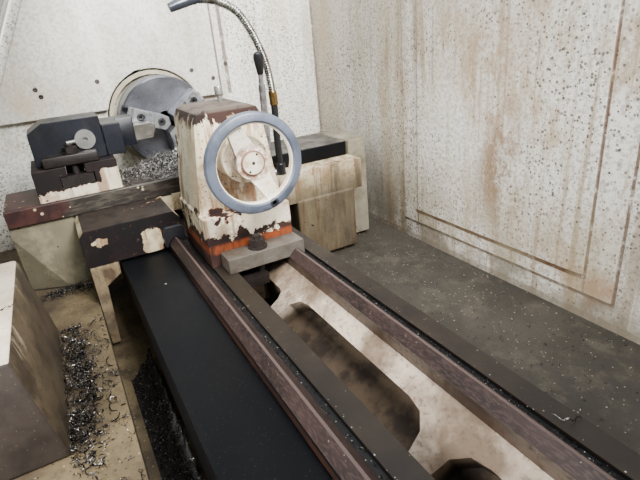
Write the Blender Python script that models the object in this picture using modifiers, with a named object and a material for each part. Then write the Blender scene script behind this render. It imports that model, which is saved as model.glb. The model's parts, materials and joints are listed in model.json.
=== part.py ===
"""A flat-bed turning lathe with computer control, inside its guard.

X runs along the bed, away from the headstock. Y runs from the operator to the rear wall. Z is up.
The origin is on the floor, at the centre of the footprint.
"""
import math

import bmesh
import bpy
from mathutils import Matrix, Vector

# Clearances and stock
GAP = 0.0003
WAY_GAP = 0.0004
SHEET = 0.003
THIN_SHEET = 0.002
TURN_STEPS = 32

# The whole machine
LENGTH = 2.500
FRONT_REACH = 0.660
REAR_REACH = 0.800
COVER_HEIGHT = 1.720
COVER_FOOT = 0.100
HEADSTOCK_ROOM = 0.740
RIGHT_COVER_WIDTH = 0.060
WAY_LEVEL = 0.900
CENTRE_HEIGHT = 0.208

# Guard section
REAR_WALL_REACH = 0.578
SILL_RISE = -0.050
SILL_LEDGE = 0.037
TOP_LIP = 0.020
TOP_FRONT_REACH = 0.165
PARTITION_HOLE_RADIUS = 0.142

# Bed
BED_START = 0.170
BED_TAIL_ROOM = 0.250
BED_WIDTH = 0.264
BED_DEPTH = 0.340
RAIL_WIDTH = 0.077
RAIL_THICKNESS = 0.020
V_RISE = 0.014
V_CREST = 0.004
GROOVE_WIDTH = 0.012
GROOVE_DEPTH = 0.006
BED_WEB = 0.024
CHUTE_SLOPE = math.radians(35)
BAY_LENGTH = 0.660
RIB_WIDTH = 0.026
RIB_AFTER_TAILSTOCK = 0.130
CORE_LENGTH = 0.120
CHUTE_THICKNESS = 0.052
SCOOP_START = 0.180
SCOOP_LENGTH = 0.390
SCOOP_SPACING = 0.040
SCOOP_DEPTH = 0.034
BASE_HALF_DEPTH = 0.200
BASE_WALL = 0.016
BASE_LENGTH = 0.660
FOOT_HEIGHT = 0.040
FOOT_RADIUS = 0.030

# Trays and floors
TRAY_DROP = 0.104
TRAY_EDGE_REACH = 0.304
GUTTER_DROP = 0.215
REAR_FLOOR_DROP = 0.192

# Chuck
CHUCK_STANDOFF = 0.150
CHUCK_RADIUS = 0.125
CHUCK_THICKNESS = 0.095
CHUCK_BORE_RADIUS = 0.031
JAW_COUNT = 3
JAW_ANGLE = math.radians(158.7)
JAW_WIDTH = 0.036
JAW_REST_RADIUS = 0.008
JAW_LENGTH = 0.104
JAW_HEIGHT = 0.077
JAW_SEAT_DEPTH = 0.024
JAW_SCREW_SPACING = 0.054
JAW_SCREW_INSET = 0.025

# Spindle and its drive
SPINDLE_RADIUS = 0.045
SPINDLE_BORE_RADIUS = 0.026
SPINDLE_FLANGE_RADIUS = 0.105
SPINDLE_FLANGE = 0.035
NOSE_GUARD_RADIUS = 0.138
PULLEY_WIDTH = 0.050
SPINDLE_PULLEY_RADIUS = 0.090
MOTOR_PULLEY_RADIUS = 0.060
MOTOR_RADIUS = 0.105
MOTOR_LENGTH = 0.340
MOTOR_REACH = 0.350
MOTOR_LEVEL = 0.520
MOTOR_SHAFT_RADIUS = 0.018
MOTOR_SHAFT_SEAT = 0.080
PULLEY_OFFSET = 0.010
BELT_THICKNESS = 0.006

# Saddle, its position along the bed and its screw
SADDLE_REST = 0.545
WING_LENGTH = 0.420
WING_TOP = 0.071
FRONT_WING_REACH = 0.305
FRONT_WING_DROP = 0.011
REAR_WING_REACH = 0.440
BRIDGE_UNDER = 0.030
SLIDE_SETBACK = 0.138
SLIDE_WIDTH = 0.175
REAR_WING_SETBACK = 0.071
GUARD_SETBACK = 0.147
GUARD_REACH = 0.436
X_SCREW_LEVEL = 0.056
PIPE_SETBACK = 0.091
PIPE_REACH = 0.203
PIPE_RADIUS = 0.0095
PIPE_BASE_RADIUS = 0.013
MOTOR_COVER_REACH = 0.500
BRIDGE_MARGIN = 0.007
DOVETAIL_HEIGHT = 0.014
DOVETAIL_BASE = 0.090
DOVETAIL_FLARE = 0.007
CHANNEL_WIDTH = 0.040
Z_SCREW_REACH = 0.185
Z_SCREW_DROP = 0.075
Z_SCREW_RADIUS = 0.020
BEARING_LENGTH = 0.060

# Cross slide and tool post
SLIDE_HEIGHT = 0.040
SLIDE_FRONT_REACH = 0.435
SLIDE_SPLIT = 0.060
SLIDE_COVER_END = 0.434
X_SCREW_RADIUS = 0.010
POST_FRONT = 0.360
POST_REAR = 0.184
POST_DEPTH = 0.150
POST_HEIGHT = 0.072
SLOT_NARROW = 0.039
SLOT_WIDE = 0.072
SLOT_LIP = 0.022
SLOT_FLOOR = 0.046
BLOCK_FRONT = 0.347
BLOCK_REAR = 0.195
BLOCK_DEPTH = 0.100
BLOCK_HEIGHT = 0.094
BLOCK_SETBACK = 0.037
CLAMP_THICKNESS = 0.024
HOLDER_HEIGHT = 0.072
KNOB_RADIUS = 0.0216
TOOL_SIZE = 0.038
TOOL_REACH = 0.057

# Tailstock
TAILSTOCK_REST = 0.560
TAIL_BODY_LENGTH = 0.150
TAIL_BASE_LENGTH = 0.185
TAIL_BASE_HEIGHT = 0.100
TAIL_TOP = 0.296
TAIL_TOP_WIDTH = 0.130
TAIL_WAIST_WIDTH = 0.172
TAIL_BASE_FRONT = 0.090
TAIL_BASE_REAR = 0.088
QUILL_RADIUS = 0.030
QUILL_LENGTH = 0.150
QUILL_TRAVEL = 0.100
NOSE_RADIUS = 0.051
REAR_BOSS_RADIUS = 0.043
REAR_BOSS_LENGTH = 0.064
TAIL_SCREW_RADIUS = 0.012
WHEEL_RADIUS = 0.090
WHEEL_INNER_RADIUS = 0.070
WHEEL_RIM = 0.020
WHEEL_DISH = 0.033
HUB_RADIUS = 0.030
SPOKE_ANGLE = math.radians(-66)
SLAB_LENGTH = 0.048
SLAB_HEIGHT = 0.030
LEVER_LENGTH = 0.160

# Doors
DOOR_WIDTH = 0.860
DOOR_THICKNESS = 0.016
DOOR_STANDOFF = 0.004
DOOR_BORDER = 0.110
DOOR_PITCH = 0.021
DOOR_FOOT = 0.002
DOOR_ENGAGEMENT = 0.020
PANE_DEPTH = 0.005
PANE_THICKNESS = 0.008

# Panels, boxes and controls
COVER_PANEL_REACH = 0.225
COVER_PANEL_DEPTH = 0.022
PANEL_LENGTH = 0.647
PANEL_BORDER = 0.0625
SILL_BOX_LENGTH = 0.375
CABINET_WIDTH = 0.700
CABINET_LOW = 0.400
CABINET_HIGH = 1.600
CABINET_DOOR = 0.015
CONTROL_WIDTH = 0.400
CONTROL_DEPTH = 0.100
Z_JOURNAL_RADIUS = 0.012

# Places that follow from the sizes
LEFT_X = -LENGTH / 2
RIGHT_X = LENGTH / 2
AXIS_Y = (FRONT_REACH - REAR_REACH) / 2
AXIS_Z = WAY_LEVEL + CENTRE_HEIGHT
AXIS = Vector((0.0, AXIS_Y, AXIS_Z))
PARTITION_X = LEFT_X + HEADSTOCK_ROOM
CHUCK_FACE_X = PARTITION_X + CHUCK_STANDOFF
BED_LEFT_X = LEFT_X + BED_START
BED_RIGHT_X = RIGHT_X - BED_TAIL_ROOM
INNER_RIGHT_X = RIGHT_X - RIGHT_COVER_WIDTH
SADDLE_X = PARTITION_X + SADDLE_REST
SLIDE_RIGHT_X = SADDLE_X - SLIDE_SETBACK
SLIDE_LEFT_X = SLIDE_RIGHT_X - SLIDE_WIDTH
SLIDE_MID_X = (SLIDE_RIGHT_X + SLIDE_LEFT_X) / 2
SLIDE_TOP = WING_TOP + GAP + SLIDE_HEIGHT
POST_TOP = SLIDE_TOP + GAP + POST_HEIGHT
TAIL_X = PARTITION_X + TAILSTOCK_REST
V_BASE = 2 * V_RISE + V_CREST
RAIL_INNER = BED_WIDTH / 2 - RAIL_WIDTH
SLOPE_RUN = FRONT_REACH - SILL_LEDGE - TOP_FRONT_REACH
SLOPE_RISE = COVER_HEIGHT - WAY_LEVEL - SILL_RISE - TOP_LIP
SLOPE_LENGTH = math.hypot(SLOPE_RUN, SLOPE_RISE)
CHUTE_FALL = math.tan(CHUTE_SLOPE)
PIPE_X = SADDLE_X - PIPE_SETBACK
ROOF = COVER_HEIGHT - WAY_LEVEL
FOOT_LINE = COVER_FOOT - WAY_LEVEL
END_WALL_X = RIGHT_X - SHEET
RIGHT_BASE_X = PARTITION_X + 0.860
PANEL_X = PARTITION_X + 0.4975
SILL_BOX_X = PARTITION_X + 0.6075
Z_BEARING_LEFT_X = PARTITION_X + 0.010
BLOCK_X = SLIDE_RIGHT_X - BLOCK_SETBACK
CLAMP_X = SLIDE_RIGHT_X - 0.019
KNOB_PLACE = (AXIS_Y - 0.235, WAY_LEVEL + 0.231)
TOOL_LOW = WAY_LEVEL + POST_TOP + 0.0078
SLAB_BOLT_X = TAIL_X + TAIL_BASE_LENGTH + GAP + SLAB_LENGTH / 2
LEVER_X = TAIL_X + 0.050
LEVER_Z = WAY_LEVEL + 0.125
LOCK_X = TAIL_X + 0.043
LOCK_Y = AXIS_Y + 0.023
HANDLE_ANGLE = math.radians(-72)
CABINET_X = LEFT_X + 0.100
CABINET_FACE_Y = AXIS_Y + REAR_REACH - 0.012 - CABINET_DOOR - GAP
CONTROL_X = LEFT_X + 0.130
STOP_X = CONTROL_X + CONTROL_WIDTH - 0.055
STOP_Y = 0.420
RAIL_LOW = SLOPE_LENGTH - 0.0405
RAIL_TOP = SLOPE_LENGTH - 0.0085
LEFT_DOOR_X = PARTITION_X + 0.020
RIGHT_DOOR_X = PARTITION_X + 0.040


def clear_scene():
    """Remove whatever the file opened with."""
    for old in list(bpy.data.objects):
        bpy.data.objects.remove(old, do_unlink=True)
    for name in ("turning_lathe", "cutters"):
        bpy.context.scene.collection.children.link(bpy.data.collections.new(name))


def finish_of(name, colour, roughness, metallic=0.0):
    """A Principled material."""
    made = bpy.data.materials.new(name)
    made.use_nodes = True
    shader = made.node_tree.nodes["Principled BSDF"]
    shader.inputs["Base Color"].default_value = (*colour, 1.0)
    shader.inputs["Roughness"].default_value = roughness
    shader.inputs["Metallic"].default_value = metallic
    return made


def new_object(name, mesh, helper=False):
    """Put a mesh in the model, or among the cutters."""
    obj = bpy.data.objects.new(name, mesh)
    bpy.data.collections["cutters" if helper else "turning_lathe"].objects.link(obj)
    if helper:
        obj.hide_render = True
        obj.display_type = "WIRE"
    return obj


def from_bmesh(name, work, helper=False):
    mesh = bpy.data.meshes.new(name)
    bmesh.ops.recalc_face_normals(work, faces=work.faces)
    work.to_mesh(mesh)
    work.free()
    return new_object(name, mesh, helper)


def smooth(obj, angle=35):
    """Shade the round faces smooth and keep the edges sharp."""
    obj.data.shade_smooth()
    obj.data.set_sharp_from_angle(angle=math.radians(angle))
    return obj


PLANES = {
    "X": Matrix(((0, 0, 1, 0), (1, 0, 0, 0), (0, 1, 0, 0), (0, 0, 0, 1))),
    "Y": Matrix(((1, 0, 0, 0), (0, 0, -1, 0), (0, 1, 0, 0), (0, 0, 0, 1))),
    "Z": Matrix.Identity(4),
}


def extruded(name, outlines, along, low, high, helper=False):
    """Flat outlines, filled as a 2D curve and carried from low to high along one axis.

    The outlines are in (y, z) for X, in (x, z) for Y and in (x, y) for Z. A later outline inside
    the first is a hole.
    """
    curve = bpy.data.curves.new(name, "CURVE")
    curve.dimensions = "2D"
    curve.fill_mode = "BOTH"
    curve.extrude = (high - low) / 2
    for outline in outlines:
        spline = curve.splines.new("POLY")
        spline.points.add(len(outline) - 1)
        for point, (across, up) in zip(spline.points, outline):
            point.co = (across, up, 0.0, 1.0)
        spline.use_cyclic_u = True
    guide = bpy.data.objects.new(name + "_outline", curve)
    bpy.context.scene.collection.objects.link(guide)
    bpy.context.view_layer.update()
    graph = bpy.context.evaluated_depsgraph_get()
    mesh = bpy.data.meshes.new_from_object(guide.evaluated_get(graph))
    bpy.data.objects.remove(guide, do_unlink=True)
    middle = (low + high) / 2
    shift = {"X": (middle, 0, 0), "Y": (0, middle, 0), "Z": (0, 0, middle)}[along]
    work = bmesh.new()
    work.from_mesh(mesh)
    bmesh.ops.remove_doubles(work, verts=work.verts, dist=1e-6)
    bmesh.ops.transform(work, matrix=Matrix.Translation(shift) @ PLANES[along], verts=work.verts)
    bpy.data.meshes.remove(mesh)
    return from_bmesh(name, work, helper)


def box(name, low, high, helper=False, bevel=0.0):
    """A block between two corners, with its edges broken by a bevel."""
    work = bmesh.new()
    bmesh.ops.create_cube(work, size=1.0)
    size = [top - bottom for bottom, top in zip(low, high)]
    centre = [(top + bottom) / 2 for bottom, top in zip(low, high)]
    bmesh.ops.scale(work, vec=size, verts=work.verts)
    bmesh.ops.translate(work, vec=centre, verts=work.verts)
    obj = from_bmesh(name, work, helper)
    if bevel:
        broken(obj, bevel)
    return obj


def broken(obj, width, segments=2, angle=40):
    """Break the sharp edges."""
    edge = obj.modifiers.new("edge_break", "BEVEL")
    edge.width = width
    edge.segments = segments
    edge.limit_method = "ANGLE"
    edge.angle_limit = math.radians(angle)
    edge.use_clamp_overlap = True
    return obj


def rod(name, start, end, radius, steps=24, helper=False, end_radius=None):
    """A straight round bar or taper between two points."""
    start, end = Vector(start), Vector(end)
    run = end - start
    work = bmesh.new()
    bmesh.ops.create_cone(
        work,
        cap_ends=True,
        segments=steps,
        radius1=radius,
        radius2=radius if end_radius is None else end_radius,
        depth=run.length,
    )
    turn = run.to_track_quat("Z", "Y").to_matrix().to_4x4()
    bmesh.ops.transform(work, matrix=Matrix.Translation((start + end) / 2) @ turn, verts=work.verts)
    return smooth(from_bmesh(name, work, helper))


def turned(name, profile, centre, along="X", steps=TURN_STEPS, closed=False, helper=False):
    """A profile of (station, radius) points turned about an axis through the centre.

    The stations run along the axis. The profile goes from the far end to the near end on its
    outer side, as a Screw modifier needs.
    """
    mesh = bpy.data.meshes.new(name)
    points = [(radius, 0.0, station) for station, radius in profile]
    edges = [(i, i + 1) for i in range(len(points) - 1)]
    if closed:
        edges.append((len(points) - 1, 0))
    mesh.from_pydata(points, edges, [])
    obj = new_object(name, mesh, helper)
    screw = obj.modifiers.new("turn", "SCREW")
    screw.steps = steps
    screw.render_steps = steps
    screw.use_merge_vertices = True
    screw.merge_threshold = 1e-5
    screw.use_smooth_shade = True
    obj.location = centre
    turns = {"X": (0, math.pi / 2, 0), "Y": (-math.pi / 2, 0, 0), "Z": (0, 0, 0)}
    obj.rotation_euler = turns[along]
    return obj


def tube(name, points, radius, resolution=3, helper=False):
    """A round bar bent along points, made a mesh with its ends closed."""
    curve = bpy.data.curves.new(name, "CURVE")
    curve.dimensions = "3D"
    curve.bevel_depth = radius
    curve.bevel_resolution = resolution
    curve.use_fill_caps = True
    spline = curve.splines.new("POLY")
    spline.points.add(len(points) - 1)
    for point, place in zip(spline.points, points):
        point.co = (*place, 1.0)
    guide = bpy.data.objects.new(name + "_guide", curve)
    bpy.context.scene.collection.objects.link(guide)
    bpy.context.view_layer.update()
    graph = bpy.context.evaluated_depsgraph_get()
    mesh = bpy.data.meshes.new_from_object(guide.evaluated_get(graph))
    bpy.data.objects.remove(guide, do_unlink=True)
    work = bmesh.new()
    work.from_mesh(mesh)
    bmesh.ops.remove_doubles(work, verts=work.verts, dist=1e-6)
    bpy.data.meshes.remove(mesh)
    return smooth(from_bmesh(name, work, helper))


def combine(obj, others, operation):
    """Cut with, join to or keep inside each of the others, which then follow the object."""
    bpy.context.view_layer.update()
    for other in others:
        step = obj.modifiers.new(operation.lower(), "BOOLEAN")
        step.operation = operation
        step.solver = "EXACT"
        step.object = other
        other.parent = obj
        other.matrix_parent_inverse = obj.matrix_world.inverted()
    return obj


def cut(obj, *cutters):
    return combine(obj, cutters, "DIFFERENCE")


def join(obj, *others):
    return combine(obj, others, "UNION")


def painted(material, *objects):
    for obj in objects:
        obj.data.materials.clear()
        obj.data.materials.append(material)
    return objects[0]


def placed(outline, across=AXIS_Y, up=WAY_LEVEL):
    """Move an outline from the spindle line and the ways to the world."""
    return [(a + across, b + up) for a, b in outline]


def rounded(outline, radius, steps=3):
    """The outline with each corner replaced by an arc of about the radius."""
    smooth_outline = []
    for i, corner in enumerate(outline):
        corner = Vector(corner)
        before = (Vector(outline[i - 1]) - corner).normalized()
        after = (Vector(outline[(i + 1) % len(outline)]) - corner).normalized()
        start, end = corner + before * radius, corner + after * radius
        for k in range(steps + 1):
            t = k / steps
            point = start * (1 - t) ** 2 + corner * 2 * t * (1 - t) + end * t**2
            smooth_outline.append((point.x, point.y))
    return smooth_outline


def circle(centre, radius, steps=24, start=0.0):
    return [
        (
            centre[0] + radius * math.cos(start + 2 * math.pi * i / steps),
            centre[1] + radius * math.sin(start + 2 * math.pi * i / steps),
        )
        for i in range(steps)
    ]


def sheet_section(path, thickness):
    """The closed outline of a folded sheet: the path, and the path offset to its left side."""
    path = [Vector(point) for point in path]
    offset = []
    for i, point in enumerate(path):
        before = (point - path[i - 1]).normalized() if i > 0 else None
        after = (path[i + 1] - point).normalized() if i < len(path) - 1 else None
        sides = [Vector((-run.y, run.x)) for run in (before, after) if run is not None]
        middle = sum(sides, Vector((0.0, 0.0))).normalized()
        offset.append(point + middle * thickness / middle.dot(sides[0]))
    return [(p.x, p.y) for p in path] + [(p.x, p.y) for p in reversed(offset)]


def body(name, place, *pieces):
    """An empty on a joint's axis, with the pieces that move together under it."""
    bpy.context.view_layer.update()
    pivot = bpy.data.objects.new(name, None)
    pivot.empty_display_size = 0.05
    pivot.location = place
    bpy.data.collections["turning_lathe"].objects.link(pivot)
    bpy.context.view_layer.update()
    for piece in pieces:
        piece.parent = pivot
        piece.matrix_parent_inverse = pivot.matrix_world.inverted()
    return pivot


def rail_top(start):
    """The top of one rail from its inner or outer edge: a V, a groove and a flat."""
    groove = start + V_BASE
    return [
        (start, 0.0),
        (start + V_RISE, V_RISE),
        (start + V_RISE + V_CREST, V_RISE),
        (groove, 0.0),
        (groove, -GROOVE_DEPTH),
        (groove + GROOVE_WIDTH, -GROOVE_DEPTH),
        (groove + GROOVE_WIDTH, 0.0),
        (start + RAIL_WIDTH, 0.0),
    ]


def bed():
    """The bed casting: two rails on webs, a sloping chip chute, ribs, core holes and scoops."""
    half = BED_WIDTH / 2
    web = half - BED_WEB
    chute_foot = -RAIL_THICKNESS - (RAIL_INNER + web) * CHUTE_FALL
    under = CHUTE_THICKNESS / math.cos(CHUTE_SLOPE)
    outline = [(-half, -BED_DEPTH)] + rail_top(-half)
    outline += [
        (-RAIL_INNER, -RAIL_THICKNESS),
        (-web, -2 * RAIL_THICKNESS),
        (-web, chute_foot),
        (RAIL_INNER, -RAIL_THICKNESS),
    ]
    outline += rail_top(RAIL_INNER)
    outline += [
        (half, -BED_DEPTH),
        (web, -BED_DEPTH),
        (web, -RAIL_THICKNESS - under + BED_WEB),
        (RAIL_INNER, -RAIL_THICKNESS - under),
        (-web, chute_foot - under),
        (-web, -BED_DEPTH),
    ]
    casting = extruded("bed", [placed(outline)], "X", BED_LEFT_X, BED_RIGHT_X)

    inner = [
        (-web - BED_WEB / 2, -BED_DEPTH + 0.001),
        (-web - BED_WEB / 2, -2 * RAIL_THICKNESS),
        (-RAIL_INNER - BED_WEB / 2, -RAIL_THICKNESS - 0.002),
        (RAIL_INNER + BED_WEB / 2, -RAIL_THICKNESS - 0.002),
        (web + BED_WEB / 2, -2 * RAIL_THICKNESS),
        (web + BED_WEB / 2, -BED_DEPTH + 0.001),
    ]
    ends = [BED_LEFT_X, BED_RIGHT_X - BED_WEB]
    walls = [
        extruded("bed_end_%d" % i, [placed(inner)], "X", x, x + BED_WEB, helper=True)
        for i, x in enumerate(ends)
    ]
    rib_x = TAIL_X + RIB_AFTER_TAILSTOCK
    low_rib = [
        (-RAIL_INNER - BED_WEB / 2, -RAIL_THICKNESS - 0.024),
        (-RAIL_INNER - BED_WEB / 2, -RAIL_THICKNESS - 0.002),
        (RAIL_INNER + BED_WEB / 2, -RAIL_THICKNESS - 0.002),
        (RAIL_INNER + BED_WEB / 2, -RAIL_THICKNESS - 0.024),
    ]
    ribs = [rib_x - BAY_LENGTH, rib_x]
    walls += [
        extruded("bed_rib_%d" % i, [placed(low_rib)], "X", x, x + RIB_WIDTH, helper=True)
        for i, x in enumerate(ribs)
    ]
    join(casting, *walls)

    pockets = []
    along = Vector((0.0, math.cos(CHUTE_SLOPE), math.sin(CHUTE_SLOPE)))
    frame = Matrix.Rotation(CHUTE_SLOPE, 4, "X")
    origin = Vector((0.0, AXIS_Y + RAIL_INNER, WAY_LEVEL - RAIL_THICKNESS)) - along * 0.034
    for i, x in enumerate(ribs):
        core = box(
            "bed_core_%d" % i,
            (x + RIB_WIDTH + 0.006, AXIS_Y - web + 0.004, WAY_LEVEL - BED_DEPTH - 0.01),
            (x + RIB_WIDTH + CORE_LENGTH, AXIS_Y + 0.020, WAY_LEVEL - 2 * RAIL_THICKNESS),
            helper=True,
            bevel=0.018,
        )
        pockets.append(core)
        end = min(x + BAY_LENGTH, BED_RIGHT_X - BED_WEB) if i + 1 < len(ribs) else BED_RIGHT_X - BED_WEB
        left = x + SCOOP_START
        while left + 0.1 < end - 0.020:
            right = min(left + SCOOP_LENGTH, end - 0.020)
            pockets += scoop("%d_%d" % (i, len(pockets)), left, right, chute_foot, origin, frame)
            left += SCOOP_LENGTH + SCOOP_SPACING
    return cut(casting, *pockets)


def scoop(tag, left, right, chute_foot, origin, frame):
    """A round-ended pocket in the chute, and the window that lets its chips out to the front."""
    web = BED_WIDTH / 2 - BED_WEB
    outline = rounded([(left, -0.150), (right, -0.150), (right, 0.0), (left, 0.0)], 0.055)
    pocket = extruded("bed_scoop_" + tag, [outline], "Z", -SCOOP_DEPTH, 0.200, helper=True)
    pocket.data.transform(Matrix.Translation(origin) @ frame)
    keep = box(
        "bed_scoop_limit_" + tag,
        (left - 0.02, AXIS_Y - web, WAY_LEVEL - BED_DEPTH),
        (right + 0.02, AXIS_Y + RAIL_INNER, WAY_LEVEL - 2 * RAIL_THICKNESS),
        helper=True,
    )
    combine(pocket, [keep], "INTERSECT")
    window = box(
        "bed_window_" + tag,
        (left + 0.04, AXIS_Y - BED_WIDTH / 2 - 0.01, WAY_LEVEL + chute_foot + 0.004),
        (right - 0.04, AXIS_Y - web + 0.02, WAY_LEVEL - 0.062),
        helper=True,
        bevel=0.012,
    )
    return [pocket, window]


def saddle_seat():
    """The underside of the saddle over the front V, from the outside inwards."""
    half = BED_WIDTH / 2
    side = half + 0.0015
    return [
        (-side, -0.0015 + WAY_GAP),
        (-half + V_RISE, V_RISE + WAY_GAP),
        (-half + V_RISE + V_CREST, V_RISE + WAY_GAP),
        (-half + V_BASE, WAY_GAP),
        (-half + V_BASE + 0.0035, WAY_GAP),
    ]


def v_roof(start, floor):
    """A notch over a V way, with the foot of its flanks at a height over the ways."""
    return [
        (start + floor - WAY_GAP, floor),
        (start + V_RISE, V_RISE + WAY_GAP),
        (start + V_RISE + V_CREST, V_RISE + WAY_GAP),
        (start + V_BASE - floor + WAY_GAP, floor),
    ]


def headstock():
    """The headstock casting, with its bore, its nose guard and a cap over the rear bearing."""
    half = 0.150
    floor = GAP
    outline = [(-half, floor), (-BED_WIDTH / 2 - 0.004, floor)]
    outline += [(-BED_WIDTH / 2 - 0.004, V_RISE + 0.004), (-BED_WIDTH / 2 + V_BASE, V_RISE + 0.004)]
    outline += [(-BED_WIDTH / 2 + V_BASE, floor), (-RAIL_INNER, floor), (-RAIL_INNER, 0.030)]
    outline += [(RAIL_INNER - 0.002, 0.030), (RAIL_INNER - 0.002, V_RISE + 0.004)]
    outline += [(RAIL_INNER + V_BASE, V_RISE + 0.004), (RAIL_INNER + V_BASE, floor)]
    outline += [(half, floor), (half + 0.010, 0.060), (half, 0.330), (half - 0.060, 0.390)]
    outline += [(-half + 0.060, 0.390), (-half, 0.330), (-half - 0.010, 0.060)]
    right = PARTITION_X - 0.020
    casting = extruded("headstock", [placed(outline)], "X", BED_LEFT_X + 0.020, right)
    nose = rod(
        "headstock_nose",
        (right - 0.02, AXIS_Y, AXIS_Z),
        (PARTITION_X + 0.016, AXIS_Y, AXIS_Z),
        NOSE_GUARD_RADIUS,
        TURN_STEPS,
        helper=True,
    )
    recess = rod(
        "headstock_nose_recess",
        (PARTITION_X - 0.004, AXIS_Y, AXIS_Z),
        (PARTITION_X + 0.030, AXIS_Y, AXIS_Z),
        CHUCK_RADIUS + 0.001,
        TURN_STEPS,
        helper=True,
    )
    bore = rod(
        "headstock_bore",
        (BED_LEFT_X - 0.05, AXIS_Y, AXIS_Z),
        (PARTITION_X + 0.05, AXIS_Y, AXIS_Z),
        SPINDLE_RADIUS + WAY_GAP,
        TURN_STEPS,
        helper=True,
    )
    join(casting, nose)
    return cut(casting, recess, bore)


def spindle():
    """The hollow spindle, with the flange that carries the chuck."""
    back = CHUCK_FACE_X - CHUCK_THICKNESS - GAP
    left = BED_LEFT_X - PULLEY_WIDTH - 2 * PULLEY_OFFSET
    profile = [
        (back, SPINDLE_BORE_RADIUS),
        (back, SPINDLE_FLANGE_RADIUS),
        (back - SPINDLE_FLANGE, SPINDLE_FLANGE_RADIUS),
        (back - SPINDLE_FLANGE, SPINDLE_RADIUS),
        (left, SPINDLE_RADIUS),
        (left, SPINDLE_BORE_RADIUS),
    ]
    return turned("spindle", profile, AXIS, closed=True)


def pulley(name, centre, left, radius, bore):
    """A belt pulley with two rims and a hub bore."""
    right = left + PULLEY_WIDTH
    profile = [
        (right, bore),
        (right, radius + 0.004),
        (right - 0.006, radius + 0.004),
        (right - 0.006, radius),
        (left + 0.006, radius),
        (left + 0.006, radius + 0.004),
        (left, radius + 0.004),
        (left, bore),
    ]
    return turned(name, profile, centre, closed=True)


def motor_pulley(left):
    """The small pulley, in one piece with the motor's shaft."""
    right = left + PULLEY_WIDTH
    radius = MOTOR_PULLEY_RADIUS
    seat = BED_LEFT_X + MOTOR_SHAFT_SEAT - 0.001
    profile = [
        (seat, 0.0),
        (seat, MOTOR_SHAFT_RADIUS),
        (right, MOTOR_SHAFT_RADIUS),
        (right, radius + 0.004),
        (right - 0.006, radius + 0.004),
        (right - 0.006, radius),
        (left + 0.006, radius),
        (left + 0.006, radius + 0.004),
        (left, radius + 0.004),
        (left, 0.0),
    ]
    return turned("motor_pulley", profile, (0.0, AXIS_Y + MOTOR_REACH, MOTOR_LEVEL))


def drive_belt():
    """The flat belt round both pulleys: the tangent loop of two circles, as wide as the pulleys allow."""
    big, small = SPINDLE_PULLEY_RADIUS + GAP, MOTOR_PULLEY_RADIUS + GAP
    centre_a = Vector((AXIS_Y, AXIS_Z))
    centre_b = Vector((AXIS_Y + MOTOR_REACH, MOTOR_LEVEL))
    run = centre_b - centre_a
    heading = math.atan2(run.y, run.x)
    lean = math.acos((big - small) / run.length)

    def loop(extra):
        points = []
        for centre, radius, start, end in (
            (centre_b, small + extra, heading - lean, heading + lean),
            (centre_a, big + extra, heading + lean, heading - lean + 2 * math.pi),
        ):
            for i in range(17):
                angle = start + (end - start) * i / 16
                reach = radius / math.cos((end - start) / 32)
                points.append(
                    (centre.x + reach * math.cos(angle), centre.y + reach * math.sin(angle))
                )
        return points

    left = BED_LEFT_X - PULLEY_WIDTH - PULLEY_OFFSET
    right = left + PULLEY_WIDTH
    return extruded("drive_belt", [loop(BELT_THICKNESS), loop(0.0)], "X", left + 0.0065, right - 0.0065)


def spindle_motor():
    """The spindle motor behind the bed, on a foot against the base."""
    left = BED_LEFT_X
    centre = (0.0, AXIS_Y + MOTOR_REACH, MOTOR_LEVEL)
    profile = [
        (left + MOTOR_LENGTH, 0.0),
        (left + MOTOR_LENGTH, MOTOR_RADIUS - 0.012),
        (left + MOTOR_LENGTH - 0.012, MOTOR_RADIUS),
        (left + 0.012, MOTOR_RADIUS),
        (left, MOTOR_RADIUS - 0.012),
        (left, MOTOR_SHAFT_RADIUS + WAY_GAP),
        (left + MOTOR_SHAFT_SEAT, MOTOR_SHAFT_RADIUS + WAY_GAP),
        (left + MOTOR_SHAFT_SEAT, 0.0),
    ]
    motor = turned("spindle_motor", profile, centre)
    foot = box(
        "spindle_motor_foot",
        (left + 0.06, AXIS_Y + BASE_HALF_DEPTH + GAP, MOTOR_LEVEL - 0.080),
        (left + MOTOR_LENGTH - 0.06, AXIS_Y + MOTOR_REACH - 0.05, MOTOR_LEVEL + 0.010),
        helper=True,
    )
    return join(motor, foot)


def chuck_body():
    """The chuck body with three radial slots for the jaws."""
    face, back = CHUCK_FACE_X, CHUCK_FACE_X - CHUCK_THICKNESS
    profile = [
        (face, CHUCK_BORE_RADIUS),
        (face, CHUCK_RADIUS - 0.004),
        (face - 0.004, CHUCK_RADIUS),
        (back + 0.030, CHUCK_RADIUS),
        (back + 0.028, CHUCK_RADIUS - 0.002),
        (back + 0.024, CHUCK_RADIUS - 0.002),
        (back + 0.022, CHUCK_RADIUS),
        (back + 0.003, CHUCK_RADIUS),
        (back, CHUCK_RADIUS - 0.003),
        (back, CHUCK_BORE_RADIUS),
    ]
    chuck = turned("chuck_body", profile, AXIS, closed=True)
    slots = []
    for i in range(JAW_COUNT):
        slot = extruded(
            "chuck_slot_%d" % i, [jaw_foot(GAP)], "Z", 0.0, CHUCK_RADIUS + 0.02, helper=True
        )
        slot.data.transform(jaw_frame(i))
        slots.append(slot)
    return cut(chuck, *slots)


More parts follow.
